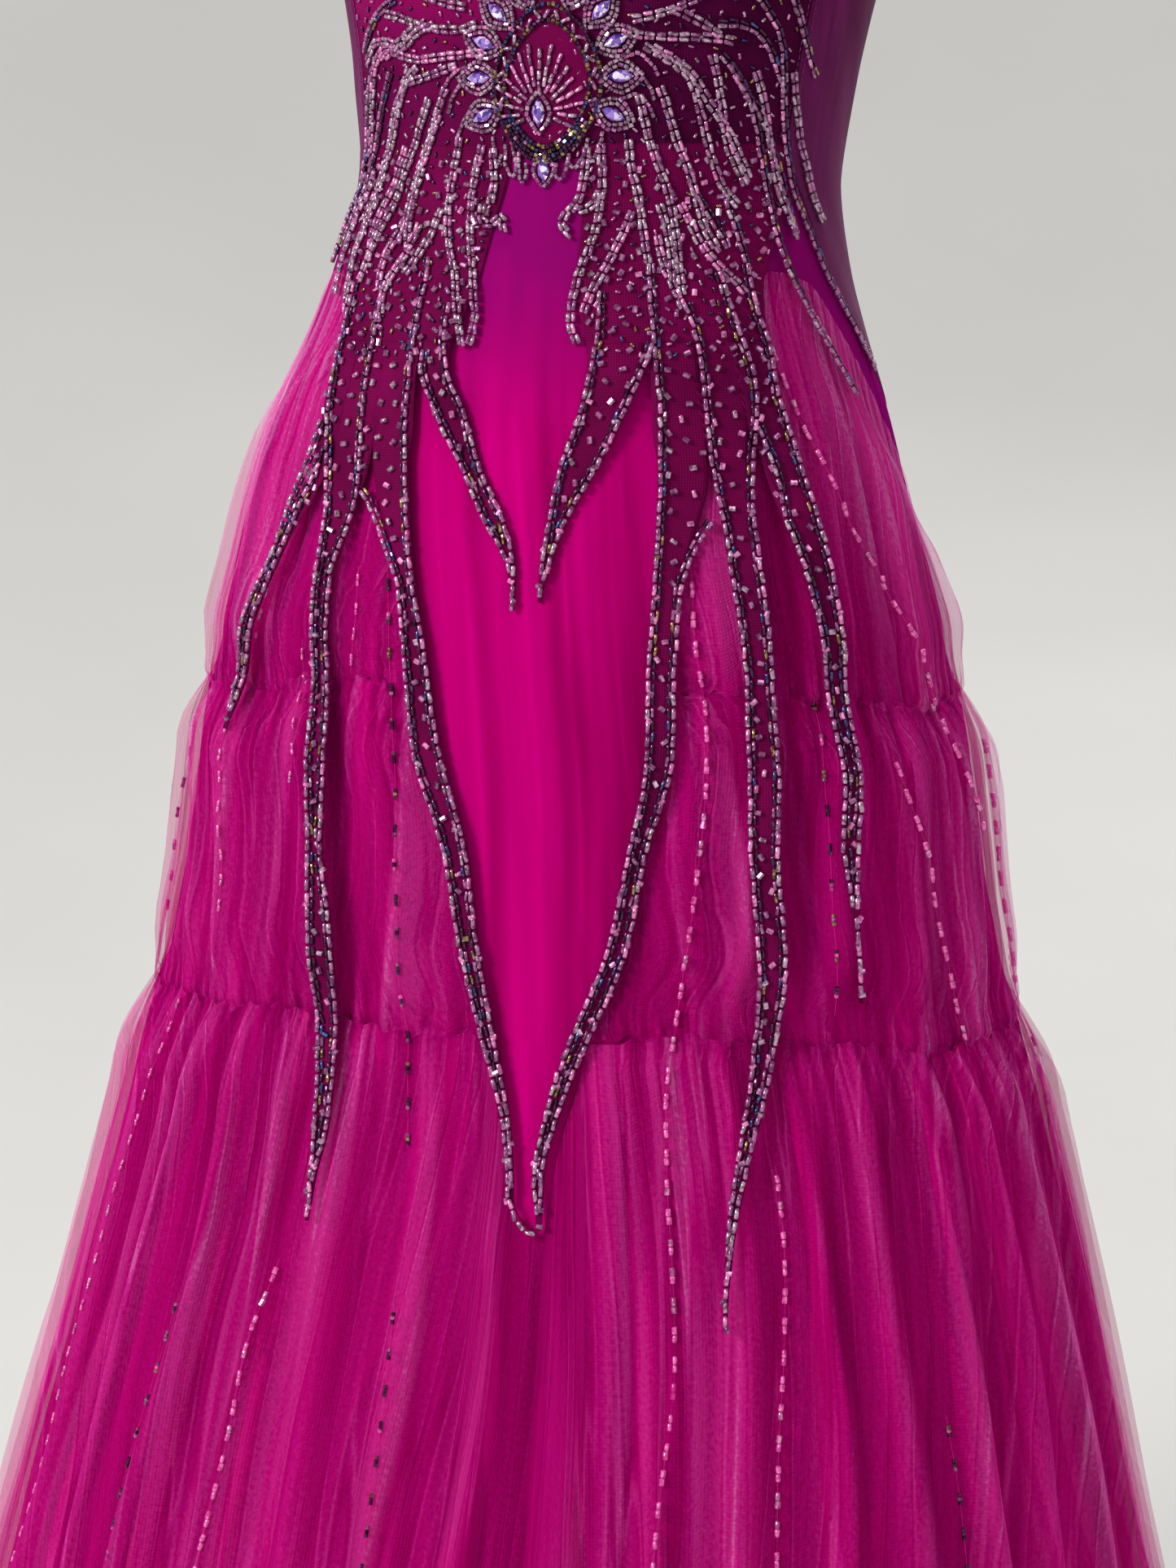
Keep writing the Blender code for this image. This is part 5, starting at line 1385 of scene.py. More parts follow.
def beaded_cloth(materials):
    """The mesh over the hips and the leaves below it, close over the satin and the net."""
    for name, rows in YOKES.items():
        side = side_of(name)
        near, far = curve(rows, 1), curve(rows, 2)
        z = np.linspace(rows[0][0] + YOKE_LAP, rows[-1][0] - YOKE_REACH, 34)[None, :] * np.ones((61, 1))
        share = np.linspace(0.0, 1.0, 61)[:, None]
        turn = side * mix(near(z), far(z), share if side > 0 else 1.0 - share)
        under_leaves = 0.0005 * smooth_step((rows[-1][0] + 2.0 * LEAF_LAP - z) / LEAF_LAP)
        out = mix(SATIN + 0.0003, mesh_face(turn, z) - under_leaves,
                  smooth_step((rows[0][0] + YOKE_LAP - z) / 0.012))
        piece = cloth_mesh(name + "_cloth", place(turn, z, out), materials["wine_mesh"], 0.0002)
        declare(piece, place(turn, z, SATIN + LAID_ON), [name])
    for name, rows in LEAVES.items():
        side, near, far = leaf_edges(name)
        top, tip = rows[0][0] + LEAF_LAP, rows[-1][0]
        z = np.linspace(top, tip, max(30, int((top - tip) / 0.005)))[None, :] * np.ones((9, 1))
        join = LEAF_JOIN * smooth_step((z - LEAF_JOIN_Z) / 0.02)
        share = np.linspace(0.0, 1.0, 9)[:, None]
        share = share if side > 0 else 1.0 - share
        turn = side * mix(near(z) - join * (name[-1] != "1"), far(z) + join * (name[-1] in "23"), share)
        points = place(turn, z, mesh_face(turn, z))
        piece = cloth_mesh(name + "_cloth", points, materials["wine_mesh"], MESH * 0.4)
        declare(piece, place(turn, z, SATIN + LAID_ON), [name])


# Beads

def tube_faces(count, rings):
    """The two ends of a tube and its walls, from rings with so many points each."""
    ends = [tuple(range(count))[::-1], tuple((rings - 1) * count + k for k in range(count))]
    walls = [(ring * count + k, ring * count + (k + 1) % count,
              (ring + 1) * count + (k + 1) % count, (ring + 1) * count + k)
             for ring in range(rings - 1) for k in range(count)]
    return ends, walls


class BeadBox:
    """Gathers beads: where each lies, which way it points and faces, its size and its shade."""

    def __init__(self, seed):
        self.random = np.random.RandomState(seed)
        self.parts = []

    def add(self, centres, axes, normals, size, look, jitter=0.08):
        count = len(centres)
        if not count:
            return
        axes = unit(axes)
        sides = unit(np.cross(axes, normals))
        turn = self.random.normal(0.0, jitter, count)[:, None]
        axes = axes * np.cos(turn) + sides * np.sin(turn)
        lengths = size[0] * self.random.uniform(0.93, 1.05, count)
        widths = size[1] * self.random.uniform(0.93, 1.06, count)
        shades = self.random.choice(len(BEAD_LOOKS[look]), count, p=BEAD_LOOKS[look])
        self.parts.append((centres, axes, normals, lengths, widths, shades))

    def centres(self):
        return np.concatenate([part[0] for part in self.parts]) if self.parts else np.zeros((0, 3))

    def make(self, name, materials, shade_names=BEAD_SHADES):
        """One mesh of all the beads: short six-sided tubes with their ends worn round."""
        centres, axes, normals, lengths, widths, shades = (
            np.concatenate([part[k] for part in self.parts]) for k in range(6))
        sides = unit(np.cross(axes, normals))
        ups = np.cross(sides, axes)
        roll = self.random.uniform(0.0, math.tau, len(centres))
        points = []
        for along, reach in BEAD_RINGS:
            for k in range(BEAD_SIDES):
                angle = roll + math.tau * k / BEAD_SIDES
                spoke = sides * np.cos(angle)[:, None] + ups * np.sin(angle)[:, None]
                points.append(centres + axes * (along * lengths)[:, None] + spoke * (reach * widths)[:, None])
        points = np.stack(points, axis=1)
        ends, walls = tube_faces(BEAD_SIDES, len(BEAD_RINGS))
        faces = ends + walls
        corners = np.concatenate(faces)
        starts = np.cumsum([0] + [len(face) for face in faces[:-1]])
        each = np.arange(len(centres))[:, None]
        mesh = mesh_of(name, points.reshape(-1, 3), (corners + points.shape[1] * each).ravel(),
                       (starts + len(corners) * each).ravel())
        for shade in shade_names:
            mesh.materials.append(materials[shade])
        mesh.polygons.foreach_set("material_index", np.repeat(shades, len(faces)).astype(np.int32))
        finish_mesh(mesh)
        mesh.set_sharp_from_angle(angle=math.radians(50.0))
        attach(add_object(name, mesh))


def cloth_top(turn, z):
    """How far out the cloth's face is under the beads: the bodice, the mesh over the hips or the leaves."""
    below_waist = smooth_step((0.012 - np.asarray(z)) / 0.012)
    return mix(SATIN, mesh_face(turn, z), below_waist)


def level_face(out):
    """The face of cloth that is as far out everywhere, for what is sewn on it."""
    return lambda turn, z: out + 0.0 * np.asarray(turn)


ornament_face = level_face(SATIN + 0.0012)
bodice_face = level_face(SATIN + 0.0006)


def normals_at(turn, z, top=cloth_top):
    """The direction straight out of the cloth."""
    def face(turn, z):
        return place(turn, z, top(turn, z))

    across = face(turn + 0.4, z) - face(turn - 0.4, z)
    up = face(turn, z + 0.002) - face(turn, z - 0.002)
    return unit(np.cross(across, up))


def hand_path(points):
    """A smooth curve through given points whose heights are in millimetres."""
    return smooth_path([(turn, height / 1000.0) for turn, height in points])


def smooth_path(points, steps=24):
    """A smooth curve through given (turn, z) points."""
    points = np.array(points, dtype=float)
    ends = np.concatenate([[2 * points[0] - points[1]], points, [2 * points[-1] - points[-2]]])
    t = np.linspace(0.0, 1.0, steps, endpoint=False)[:, None]
    pieces = []
    for i in range(1, len(ends) - 2):
        a, b, c, d = ends[i - 1:i + 3]
        pieces.append(0.5 * (2 * b + (c - a) * t + (2 * a - 5 * b + 4 * c - d) * t**2
                             + (3 * b - a - 3 * c + d) * t**3))
    pieces.append(points[-1:])
    return np.concatenate(pieces)


def bead_row(box, path, size, look, aside=0.0, top=cloth_top, gap=BEAD_GAP):
    """Beads end to end along a path of (turn, z), moved aside from it by a distance."""
    if len(path) < 2:
        return
    turn, z = path[:, 0], path[:, 1]
    points = place(turn, z, top(turn, z))
    normals = normals_at(turn, z, top)
    side = unit(np.cross(np.gradient(points, axis=0), normals))
    points = points + side * aside + normals * size[1] * BEAD_REST
    reach = reach_along(points)
    places = np.arange(size[0] * 0.5, reach[-1], size[0] + gap)
    if not len(places):
        return
    centres = read_along(places, reach, points)
    ahead = read_along(places + size[0] * 0.5, reach, points)
    behind = read_along(places - size[0] * 0.5, reach, points)
    facing = unit(read_along(places, reach, normals))
    beside = unit(np.cross(ahead - behind, facing))
    centres = centres + beside * box.random.normal(0.0, BEAD_UNEVEN, len(centres))[:, None]
    box.add(centres, ahead - behind, facing, size, look)


def runs(mask):
    """The stretches of a mask that hold, as slices of three or more."""
    edges = np.flatnonzero(np.diff(np.concatenate([[0], mask.astype(int), [0]])))
    return [slice(a, b) for a, b in zip(edges[::2], edges[1::2]) if b - a > 2]


def leaf_beads(box):
    """Rows of beads inside each leaf's edges, which close up to one row at its tip."""
    paths = {}
    for name, rows in LEAVES.items():
        side, near, far = leaf_edges(name)

        def width(z, side=side, near=near, far=far):
            return np.linalg.norm(place(side * far(z), z, 0.01) - place(side * near(z), z, 0.01), axis=-1)

        for leaf, edge, z_from, head in LEAF_LINES:
            if leaf != name:
                continue
            z = np.arange(z_from - 0.006, rows[-1][0], -0.010)
            share = np.minimum(LEAF_ROW_IN / width(z), 0.5)
            share = share if edge == "near" else 1.0 - share
            points = [(side * turn, z) for turn, z in head]
            points += list(zip(side * mix(near(z), far(z), share), z))
            path = smooth_path(points, 12)
            wide = np.where(path[:, 1] > z_from, 1.0, width(path[:, 1]))
            inward = -1.0 if (edge == "near") == (side > 0) else 1.0
            paths[name, edge] = path, wide, inward
        middle = np.arange(rows[0][0], rows[-1][0], -0.004)
        across = width(middle)
        middle = np.stack([side * mix(near(middle), far(middle), 0.5), middle], axis=1)
        for part in runs(across <= ONE_ROW_BELOW):
            bead_row(box, middle[part], BUGLE, "lilac")
        for part in runs((across <= ONE_DARK_BELOW) & (across > NO_DARK_BELOW)):
            bead_row(box, middle[part], DARK_BUGLE, "dark")
    for (name, edge), (path, wide, inward) in paths.items():
        for part in runs(wide > ONE_ROW_BELOW):
            bead_row(box, path[part], BUGLE, "lilac")
        for part in runs(wide > ONE_DARK_BELOW):
            bead_row(box, path[part], DARK_BUGLE, "dark", inward * ROW_APART)
    bead_row(box, smooth_path(V_TIP_ROW), BUGLE, "lilac", gap=0.0006)


def strands(box):
    """Sprays of strands, two rows side by side, from the ornament down over the hips."""
    for look, *points in STRANDS:
        path = hand_path(points)
        first, second_bead = ("lilac", DARK_BUGLE) if look == "dark" else (look, SHORT_BUGLE)
        bead_row(box, path, SHORT_BUGLE, first, STRAND_ASIDE, gap=STRAND_GAP)
        bead_row(box, path, second_bead, look, -STRAND_ASIDE, gap=STRAND_GAP)
    for look, *points in LOOPS:
        bead_row(box, hand_path(points), PETAL_BEAD, look, gap=PETAL_GAP)


def scatter(box, candidates, size, look, apart, taken, clear=SCATTER_CLEAR):
    """Loose beads at (turn, z) places that keep clear of each other and of those taken."""
    points = place(candidates[:, 0], candidates[:, 1], cloth_top(candidates[:, 0], candidates[:, 1]))
    kept = []
    for i, point in enumerate(points):
        if len(taken) and (np.abs(taken - point).sum(axis=1) < clear * 1.4).any():
            continue
        if kept and (((points[kept] - point) ** 2).sum(axis=1) < apart**2).any():
            continue
        kept.append(i)
    if not kept:
        return
    normals = normals_at(candidates[kept, 0], candidates[kept, 1])
    spin = box.random.uniform(0.0, math.pi, len(kept))[:, None]
    level = unit(np.cross(normals, (0.0, 0.0, 1.0)))
    axes = level * np.cos(spin) + np.cross(normals, level) * np.sin(spin)
    box.add(points[kept] + normals * size[1] * 0.45, axes, normals, size, look)


def scattered_beads(box, taken):
    """Loose beads between the rows of every leaf, over the hips and on the bodice."""
    random = np.random.RandomState(31)
    for name, rows in LEAVES.items():
        side, near, far = leaf_edges(name)
        z = random.uniform(rows[-1][0], rows[0][0], SCATTER_TRIES)
        turn = side * mix(near(z), far(z), random.uniform(0.08, 0.92, len(z)))
        scatter(box, np.stack([turn, z], axis=1), LOOSE_BUGLE, "loose", SCATTER_APART, taken)
    for name, rows in YOKES.items():
        z = random.uniform(-0.095, 0.004, SCATTER_TRIES)
        turn = side_of(name) * mix(curve(rows, 1)(z), curve(rows, 2)(z), random.uniform(0.03, 0.97, len(z)))
        scatter(box, np.stack([turn, z], axis=1), LOOSE_BUGLE, "lilac", SCATTER_APART * 0.9, taken)
        scatter(box, np.stack([turn, z], axis=1)[::-1], TINY_BUGLE, "mixed", 0.006, box.centres(), 0.003)
    # On the bodice's front they thin out upwards
    z = random.uniform(0.006, 0.20, 2 * SCATTER_TRIES)
    turn = random.uniform(-58.0, 58.0, len(z))
    thinned = random.uniform(size=len(z)) > smooth_step((z - 0.08) / 0.14) * 0.75
    keep = (z < neckline(turn) - 0.006) & thinned
    spots = np.stack([turn, z], axis=1)[keep]
    scatter(box, spots, TINY_BUGLE, "mixed", 0.0058, taken)


def ornament_place(share, angle, drop=0.0):
    """(turn, z) on the ornament at a share of its reach, clockwise from its top."""
    across, up = np.sin(angle), np.cos(angle)
    reach = (np.abs(across) ** ORNAMENT_POWER + np.abs(up) ** ORNAMENT_POWER) ** (-1.0 / ORNAMENT_POWER)
    z = ORNAMENT_Z - drop + share * reach * up * ORNAMENT_HALF_HEIGHT
    turn = np.degrees(share * reach * across * ORNAMENT_HALF_WIDTH / section["half_width"](z))
    return turn, z


def ornament(materials, box):
    """The oval at the waist: a low cushion of mesh, two frames of dark beads and a fan inside."""
    angle = np.linspace(0.0, math.tau, 73)[:, None]
    share = np.linspace(1.0, 0.02, 14)[None, :]
    turn, z = ornament_place(share * np.ones_like(angle), angle * np.ones_like(share))
    lift = SATIN + 0.0006 + 0.0009 * np.sqrt(1.0 - share**2 * 0.98)
    points = place(turn, z, lift * np.ones_like(turn))
    piece = cloth_mesh("waist_ornament_cloth", points, materials["wine_mesh"])
    attach(piece, ("waist_ornament",))
    round_angles = np.linspace(0.0, math.tau, 361)
    low_angles = np.linspace(math.radians(122.0), math.radians(238.0), 121)
    frames = [(share, round_angles) for share in FRAME_SHARES]
    frames += [(share, low_angles) for share in LOW_FRAME_SHARES]
    for share, angles in frames:
        path = np.stack(ornament_place(share, angles, FRAME_DROP), axis=1)
        bead_row(box, path, SEED_BEAD, "iris", top=ornament_face, gap=0.00025)
    for number in range(FRAME_BUGLES):
        angle = math.radians(250.0 + 220.0 * (number + 0.5) / FRAME_BUGLES)
        lean = 0.16 if number % 2 else -0.10
        ends = [ornament_place(0.5 * sum(FRAME_SHARES) + reach, angle + reach * lean * 8.0, FRAME_DROP)
                for reach in (-0.066, 0.066)]
        bead_row(box, np.array(ends, dtype=float), FAN_BUGLE, "silver", top=ornament_face, gap=0.1)
    for ray in range(FAN_RAYS):
        lean = math.radians(-108.0 + 216.0 * ray / (FAN_RAYS - 1))
        reach = 0.0205 + 0.0120 * math.cos(lean * 0.5) ** 2
        start = 0.0098 if ray % 2 == 0 else 0.0122
        spots = []
        for distance in np.linspace(start, reach, 12):
            z = FAN_Z + distance * math.cos(lean) * 1.05
            x = distance * math.sin(lean) * 0.80
            spots.append((FAN_TURN + math.degrees(x / section["half_width"](z)), z))
        look = "pink" if ray % 3 else "silver"
        bead_row(box, np.array(spots), FAN_BUGLE, look, top=ornament_face, gap=0.0005)


def stone_mesh(name, matrix, size, material):
    """A marquise-cut stone: a pointed girdle, a ring of crown facets and a flat table."""
    length, width = STONE_LENGTH * size, STONE_WIDTH * size
    outline = []
    for k in range(STONE_SIDES):
        angle = math.tau * k / STONE_SIDES
        up = math.cos(angle)
        across = math.copysign(1.0 - abs(up) ** 1.7, math.sin(angle))
        outline.append((0.5 * width * across, 0.5 * length * up))
    points = [matrix @ Vector((x * share, y * share, up * STONE_HEIGHT)) for share, up in STONE_RINGS
              for x, y in outline]
    ends, walls = tube_faces(STONE_SIDES, len(STONE_RINGS))
    mesh = bpy.data.meshes.new(name)
    mesh.from_pydata(points, [], walls + ends)
    mesh.validate()
    mesh.materials.append(material)
    return add_object(name, mesh), outline


def surface_frame(turn, z, out):
    """Axes on the dress: across, up along the cloth and straight out of it."""
    here = Vector(place(turn, z, out))
    across = Vector(place(turn + 1.0, z, out) - place(turn - 1.0, z, out)).normalized()
    up = Vector(place(turn, z + 0.004, out) - place(turn, z - 0.004, out)).normalized()
    outward = across.cross(up).normalized()
    matrix = Matrix((across, outward.cross(across), outward)).transposed().to_4x4()
    matrix.translation = here
    return matrix


def ring_of_beads(box, matrix, outline, wider, part, size):
    """A row of small beads round a stone, as much wider than the stone as it says."""
    ring = np.array(outline + outline[:1])
    ring = ring * (1.0 + wider / np.array([STONE_WIDTH, STONE_LENGTH])) * size
    ring = read_along(np.linspace(part[0], part[1], 161) * (len(ring) - 1), np.arange(len(ring)), ring)
    reach = reach_along(ring)
    count = int(reach[-1] / (PETAL_BEAD[0] + PETAL_GAP))
    spots = (np.arange(count) + 0.5) * reach[-1] / count
    local = read_along(spots, reach, ring)
    ahead = read_along(spots + 0.001, reach, ring)
    turned = np.array(matrix.to_3x3())
    centres = np.array(matrix.translation) + np.column_stack([local, np.full(count, 0.0008)]) @ turned.T
    axes = np.column_stack([ahead - local, np.zeros(count)]) @ turned.T
    box.add(centres, axes, np.tile(turned[:, 2], (count, 1)), PETAL_BEAD, "silver")


def stones(materials, box):
    """Lavender stones round the ornament and one in it, each in a frame of small pale beads."""
    places = []
    for number, degrees in enumerate(STONE_ANGLES, 1):
        angle = math.radians(degrees)
        z = ORNAMENT_Z + STONE_RING_Z * math.cos(angle)
        turn = math.degrees(STONE_RING_X * math.sin(angle) / section["half_width"](z))
        seat = STONE_SEAT + (0.0005 if degrees == 180 else 0.0)
        places.append(("stone_%02d" % number, turn, z, angle, 1.0, seat))
    places.append(("stone_middle", FAN_TURN, FAN_Z, 0.0, 1.08, 0.0018))
    for name, turn, z, angle, size, seat in places:
        matrix = surface_frame(turn, z, SATIN + seat) @ Matrix.Rotation(-angle, 4, "Z")
        stone, outline = stone_mesh(name + "_cut", matrix, size, materials["stone"])
        in_ring = name != "stone_middle"
        attach(stone, (name,) if in_ring else ())
        ring_of_beads(box, matrix, outline, STONE_RING_WIDER[0], (0.0, 1.0), size)
        if in_ring and abs(angle - math.pi) > 0.1:
            part = (0.02, 0.98) if angle < math.pi else (0.0, 1.0)
            ring_of_beads(box, matrix, outline, STONE_RING_WIDER[1], part, size)


def veil_top(turn, z):
    """The face of the outermost net at a place, from the same folds that it is made with."""
    turn, z = np.broadcast_arrays(np.asarray(turn, dtype=float), np.asarray(z, dtype=float))
    turn = (turn + 180.0) % 360.0 - 180.0
    side = np.where(turn > 0, 1.0, -1.0)
    edge = net_edge(z, side)
    share = (np.abs(turn) - edge) / (BACK - PANEL_END - edge)
    share = np.where(turn > 0, share, 1.0 - share)
    low = np.where(np.abs(turn) < SKIRT_SIDE, (turn + SKIRT_SIDE) / (2.0 * SKIRT_SIDE),
                   ((turn % 360.0) - SKIRT_SIDE) / (360.0 - 2.0 * SKIRT_SIDE))
    outer = LAYER_SEED * (len(NET_LAYERS) - 1)
    out = np.zeros_like(z)
    seam_1 = TIER_1_SEAM_Z + seam_sway(turn, TIER_1_SEAM_Z)
    seam_2 = TIER_2_SEAM_Z + seam_sway(turn, TIER_2_SEAM_Z)
    tiers = (
        (z > seam_1, share, TIER_1_FOLDS, TIER_SEEDS[0] + side + outer, net_top(turn), seam_1),
        ((z <= seam_1) & (z > seam_2), share, TIER_2_FOLDS, TIER_SEEDS[1] + side + outer, seam_1_top(turn),
         seam_2),
        (z <= seam_2, low, TIER_3_FOLDS, TIER_SEEDS[2] + (np.abs(turn) >= SKIRT_SIDE) + outer,
         seam_2_top(turn),
         NET_HEM_Z - NO_SEAM_BELOW + 0.0 * z),
    )
    for here, along, folds, seed, top_z, bottom_z in tiers:
        face, _ = net_points(turn, z, np.clip(along, 0.0, 1.0), folds, 1.0, 1.0, seed, top_z, bottom_z)
        out = np.where(here, face, out)
    return out + 0.0003


def thin_tube(name, radius, material):
    """A curve drawn as a thin tube, still without a line to follow."""
    tube = bpy.data.curves.new(name, "CURVE")
    tube.dimensions = "3D"
    tube.bevel_depth = radius
    tube.bevel_resolution = 1
    tube.materials.append(material)
    return tube


def add_line(tube, points, closed=False):
    spline = tube.splines.new("POLY")
    spline.points.add(len(points) - 1)
    spline.points.foreach_set("co", np.column_stack([points, np.ones(len(points))]).ravel())
    spline.use_cyclic_u = closed


def bead_strings(materials, box):
    """Threads of beads that hang on the net, in small groups with bare thread between them."""
    paths = [(look, hand_path(points)) for look, *points in STRINGS]
    for look, turn, high, low in BACK_STRINGS:
        z = np.linspace(high, low, 60)
        paths.append((look, np.stack([turn + 1.2 * np.sin(z * 30.0 + turn), z], axis=1)))
    threads = thin_tube("bead_threads", THREAD_RADIUS, materials["thread"])
    for look, path in paths:
        turn, z = path[:, 0], path[:, 1]
        normals = normals_at(turn, z, veil_top)
        points = place(turn, z, veil_top(turn, z)) + normals * STRING_LIFT
        add_line(threads, points[::4])
        reach = reach_along(points)
        size, group, step, shades = STRING_KINDS[look]
        starts = np.arange(STRING_START, reach[-1], step)
        starts = starts + box.random.uniform(-STRING_UNEVEN, STRING_UNEVEN, len(starts))
        spots = (starts[:, None] + np.arange(group)[None, :] * (size[0] + 0.0001)).ravel()
        at = read_along(spots, reach, points)
        ahead = read_along(spots + 0.001, reach, points)
        facing = unit(read_along(spots, reach, normals))
        keep = spots < reach[-1] - 0.001
        box.add(at[keep], (ahead - at)[keep], facing[keep], size, shades)
    attach(add_object("bead_threads", threads))


def beadwork(materials):
    rows = BeadBox(5)
    leaf_beads(rows)
    rows.make("leaf_bead_rows", materials)
    sprays = BeadBox(6)
    strands(sprays)
    ornament(materials, sprays)
    stones(materials, sprays)
    sprays.make("waist_bead_sprays", materials)
    loose = BeadBox(7)
    scattered_beads(loose, np.concatenate([rows.centres(), sprays.centres()]))
    loose.make("loose_beads", materials)
    hanging = BeadBox(8)
    bead_strings(materials, hanging)
    hanging.make("net_bead_strings", materials)


# The zip and the stitching

def stitching(materials):
    """A rolled edge round the neckline, and small stitches below it and beside the bodice's seams."""
    turns = np.linspace(-BACK, BACK, 361)[:-1]
    rolled = thin_tube("neckline_edge", EDGE_ROLL, materials["side_satin"])
    add_line(rolled, place(turns, neckline(turns) - EDGE_ROLL * 0.5, SATIN * 0.5), True)
    attach(add_object("neckline_edge", rolled))
    box = BeadBox(9)
    around = np.linspace(-177.0, 177.0, 700)
    bead_row(box, np.stack([around, neckline(around) - STITCH_IN], axis=1), STITCH, "plain", top=bodice_face,
             gap=STITCH_GAP)
    for side in (1.0, -1.0):
        for seam in (BODICE_SIDE_FRONT, BODICE_SIDE_BACK, BACK - 2.6):
            turn = side * seam
            z = np.linspace(neckline(turn) - STITCH_IN, basque(turn) + 0.002, 200)
            path = np.stack([np.full_like(z, turn), z], axis=1)
            for aside in ((-SEAM_STITCH, SEAM_STITCH) if seam < 150.0 else (0.0,)):
                bead_row(box, path, STITCH, "plain", aside, bodice_face, STITCH_GAP)
    box.make("bodice_stitching", materials, ("stitch",))


def flat_plate(bm, outline, low, high, matrix):
    """A plate with the outline (x, y), from one height to another, in the frame that the matrix gives."""
    rings = [[bm.verts.new(matrix @ Vector((x, y, up))) for x, y in outline] for up in (low, high)]
    bm.faces.new(rings[0][::-1])
    bm.faces.new(rings[1])
    for k in range(len(outline)):
        after = (k + 1) % len(outline)
        bm.faces.new((rings[0][k], rings[0][after], rings[1][after], rings[1][k]))


def metal_piece(name, bm, material, node, body):
    """A piece of metal with its edges rounded a little, which stands for a node of the frame."""
    mesh = bpy.data.meshes.new(name)
    bmesh.ops.recalc_face_normals(bm, faces=bm.faces)
    bm.to_mesh(mesh)
    bm.free()
    mesh.materials.append(material)
    piece = add_object(name, mesh)
    rounded = piece.modifiers.new("rounded", "BEVEL")
    rounded.width = 0.00025
    rounded.segments = 2
    rounded.limit_method = "ANGLE"
    attach(piece, (node,), body)


def rounded_outline(half_wide, low, high, wide_low, steps=7):
    """A plate's outline: round at its upper end, narrowing to wide_low at its lower end."""
    points = [(-wide_low, low), (wide_low, low)]
    for k in range(steps):
        angle = math.pi * k / (steps - 1)
        up = high - half_wide * 0.5 + half_wide * 0.5 * math.sin(angle)
        points.append((half_wide * math.cos(angle), up))
    return points


def zip_tape(materials):
    """The zip's tapes with their coil between them."""
    top, bottom = float(neckline(BACK)), float(basque(BACK))
    z = np.linspace(top, bottom, 120)[None, :] * np.ones((13, 1))
    across = np.linspace(-1.0, 1.0, 13)[:, None]
    turn = BACK + np.degrees(across * ZIP_HALF_WIDTH / section["half_width"](z))
    out = ZIP_WALL - 0.0003 + 0.0002 * np.abs(across)
    tape = cloth_mesh("zip_tape_cloth", place(turn, z, out), materials["zip_tape"], ZIP_WALL * 0.5)
    declare(tape, place(turn, z, ZIP_WALL), ["zip_tape"])
    coil = BeadBox(10)
    heights = np.arange(top - SLIDER_TOP_DROP + 0.004, bottom + 0.006, -COIL_PITCH)
    turns = np.full_like(heights, BACK)
    ahead = place(turns + 1.0, heights, ZIP_WALL) - place(turns - 1.0, heights, ZIP_WALL)
    facing = normals_at(turns, heights, bodice_face)
    coil.add(place(turns, heights, ZIP_WALL), ahead, facing, COIL_TOOTH, "plain", 0.02)
    coil.make("zip_coil", materials, ("coil",))


def zip_slider(material, seat):
    """The slider: two stacked plates, with a lug on each side of the pull tab's barrel."""
    slider = bmesh.new()
    half = SLIDER_LENGTH / 2
    body = rounded_outline(SLIDER_WIDTH / 2, -half, half, SLIDER_WIDTH * 0.33)
    flat_plate(slider, body, 0.0, SLIDER_HEIGHT * 0.45, seat)
    flat_plate(slider, [(x * 0.9, y * 0.94) for x, y in body], SLIDER_HEIGHT * 0.45, SLIDER_HEIGHT, seat)
    lug_x = TAB_BARREL_LENGTH / 2 + LUG_GAP + LUG_THICKNESS / 2
    for side in (-1.0, 1.0):
        edge = [(side * lug_x + x * LUG_THICKNESS / 2, y * LUG_SIZE / 2) for x, y in
                ((-1, -1), (1, -1), (1, 1), (-1, 1))]
        flat_plate(slider, edge, SLIDER_HEIGHT * 0.5, TAB_PIVOT_HEIGHT + LUG_SIZE / 2, seat)
    metal_piece("zip_slider_body", slider, material, "zip_slider", DRESS)


def zip_pull(material, seat):
    """The pull tab: a blade with a raised rim on each face, which hangs straight down from its barrel."""
    right = seat.col[0].to_3d()
    hanging = Matrix((right, (0.0, 0.0, 1.0), right.cross(Vector((0.0, 0.0, 1.0))))).transposed().to_4x4()
    hanging.translation = seat @ Vector((0.0, 0.0, TAB_PIVOT_HEIGHT))
    tab = bmesh.new()
    half = TAB_WIDTH / 2
    blade = [(-half * 0.7, 0.0), (-half, -TAB_LENGTH * 0.6)]
    for k in range(9):
        angle = math.pi + math.pi * k / 8
        blade.append((half * math.cos(angle), -TAB_LENGTH + half + half * math.sin(angle)))
    blade += [(half, -TAB_LENGTH * 0.6), (half * 0.7, 0.0)]
    rim = [(x * 0.62, -TAB_LENGTH * 0.72 + (y + TAB_LENGTH * 0.72) * 0.62) for x, y in blade[2:-2]]
    for outline, low, high in ((blade, -0.35, 0.35), (rim, 0.35, 0.5), (rim, -0.5, -0.35)):
        flat_plate(tab, outline, TAB_THICKNESS * low, TAB_THICKNESS * high, hanging)
    spokes = [math.tau * k / 12 for k in range(12)]
    barrel = [(TAB_BARREL_RADIUS * math.cos(angle), TAB_BARREL_RADIUS * math.sin(angle)) for angle in spokes]
    turned = hanging @ Matrix.Rotation(math.pi / 2, 4, "Y")
    flat_plate(tab, barrel, -TAB_BARREL_LENGTH / 2, TAB_BARREL_LENGTH / 2, turned)
    metal_piece("zip_pull", tab, material, "zip_pull_tab", TAB)


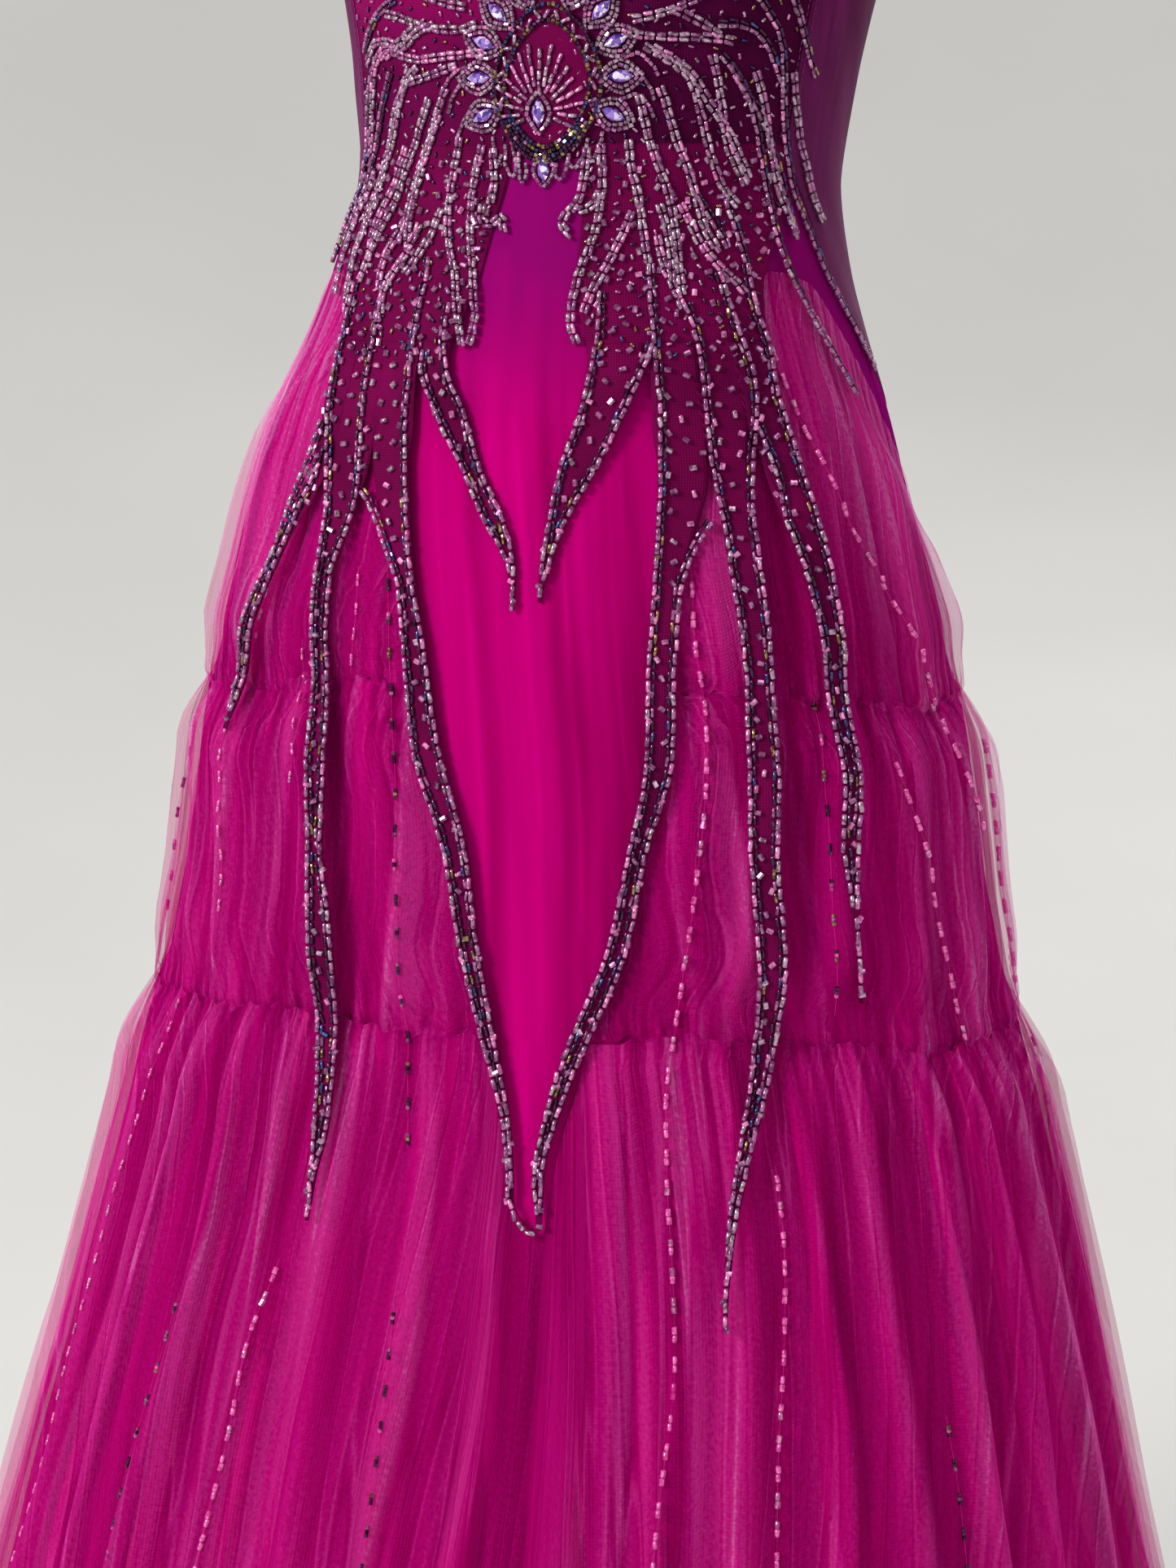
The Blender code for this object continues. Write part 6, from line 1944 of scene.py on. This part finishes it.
def zip_fastener(materials):
    zip_tape(materials)
    seat = surface_frame(BACK, float(neckline(BACK)) - SLIDER_TOP_DROP, ZIP_WALL + SLIDER_SEAT)
    zip_slider(materials["zip_metal"], seat)
    zip_pull(materials["zip_metal"], seat)


# Stage, light and camera

def studio():
    """A pale floor that curves up into a wall all round."""
    floor_z = NET_HEM_Z - 0.001
    radius, bend, height = 7.0, 5.0, 7.0
    profile = [(0.0, floor_z), (radius - bend, floor_z)]
    for step in range(1, 25):
        angle = math.pi / 2 * step / 24
        profile.append((radius - bend + bend * math.sin(angle), floor_z + bend - bend * math.cos(angle)))
    profile.append((radius, floor_z + height))
    sides = 96
    points = np.array([[(r * math.cos(a), r * math.sin(a), z) for r, z in profile]
                       for a in (math.tau * i / sides for i in range(sides + 1))])
    material = new_material("backdrop", (0.39, 0.385, 0.375), 0.95)
    colour_by_noise(material, ((0.3, (0.38, 0.375, 0.365)), (0.7, (0.40, 0.395, 0.385))), 2.0)
    set_shader(material, {"Specular IOR Level": 0.0, "Emission Color": (0.99, 0.98, 0.95, 1.0),
                          "Emission Strength": 0.27})
    backdrop = cloth_mesh("backdrop", points[::-1], material)


def area_light(name, location, target, size, power, colour):
    light = bpy.data.lights.new(name, "AREA")
    light.shape = "SQUARE"
    light.size = size
    light.energy = power
    light.color = colour
    thing = add_object(name, light)
    thing.location = location
    thing.rotation_euler = (Vector(target) - Vector(location)).to_track_quat("-Z", "Y").to_euler()


def lights():
    for row in LIGHTS:
        area_light(*row)
    world = bpy.data.worlds.new("room")
    world.use_nodes = True
    background = world.node_tree.nodes["Background"]
    background.inputs["Color"].default_value = (0.86, 0.87, 0.9, 1.0)
    background.inputs["Strength"].default_value = 0.48
    bpy.context.scene.world = world


def camera():
    azimuth, elevation = math.radians(CAMERA_AZIMUTH), math.radians(CAMERA_ELEVATION)
    forward = Vector((-math.sin(azimuth) * math.cos(elevation), math.cos(azimuth) * math.cos(elevation),
                      -math.sin(elevation)))
    lens = bpy.data.cameras.new("camera")
    lens.lens = CAMERA_LENS
    lens.sensor_width = CAMERA_FILM
    thing = add_object("camera", lens)
    thing.location = Vector(CAMERA_TARGET) - forward * CAMERA_DISTANCE
    thing.rotation_euler = forward.to_track_quat("-Z", "Y").to_euler()
    bpy.context.scene.camera = thing


def main():
    scene = bpy.context.scene
    scene.view_settings.view_transform = "Standard"
    materials = make_materials()
    bodice(materials)
    underskirt(materials)
    net_tiers(materials)
    beaded_cloth(materials)
    beadwork(materials)
    stitching(materials)
    zip_fastener(materials)
    studio()
    lights()
    camera()


main()
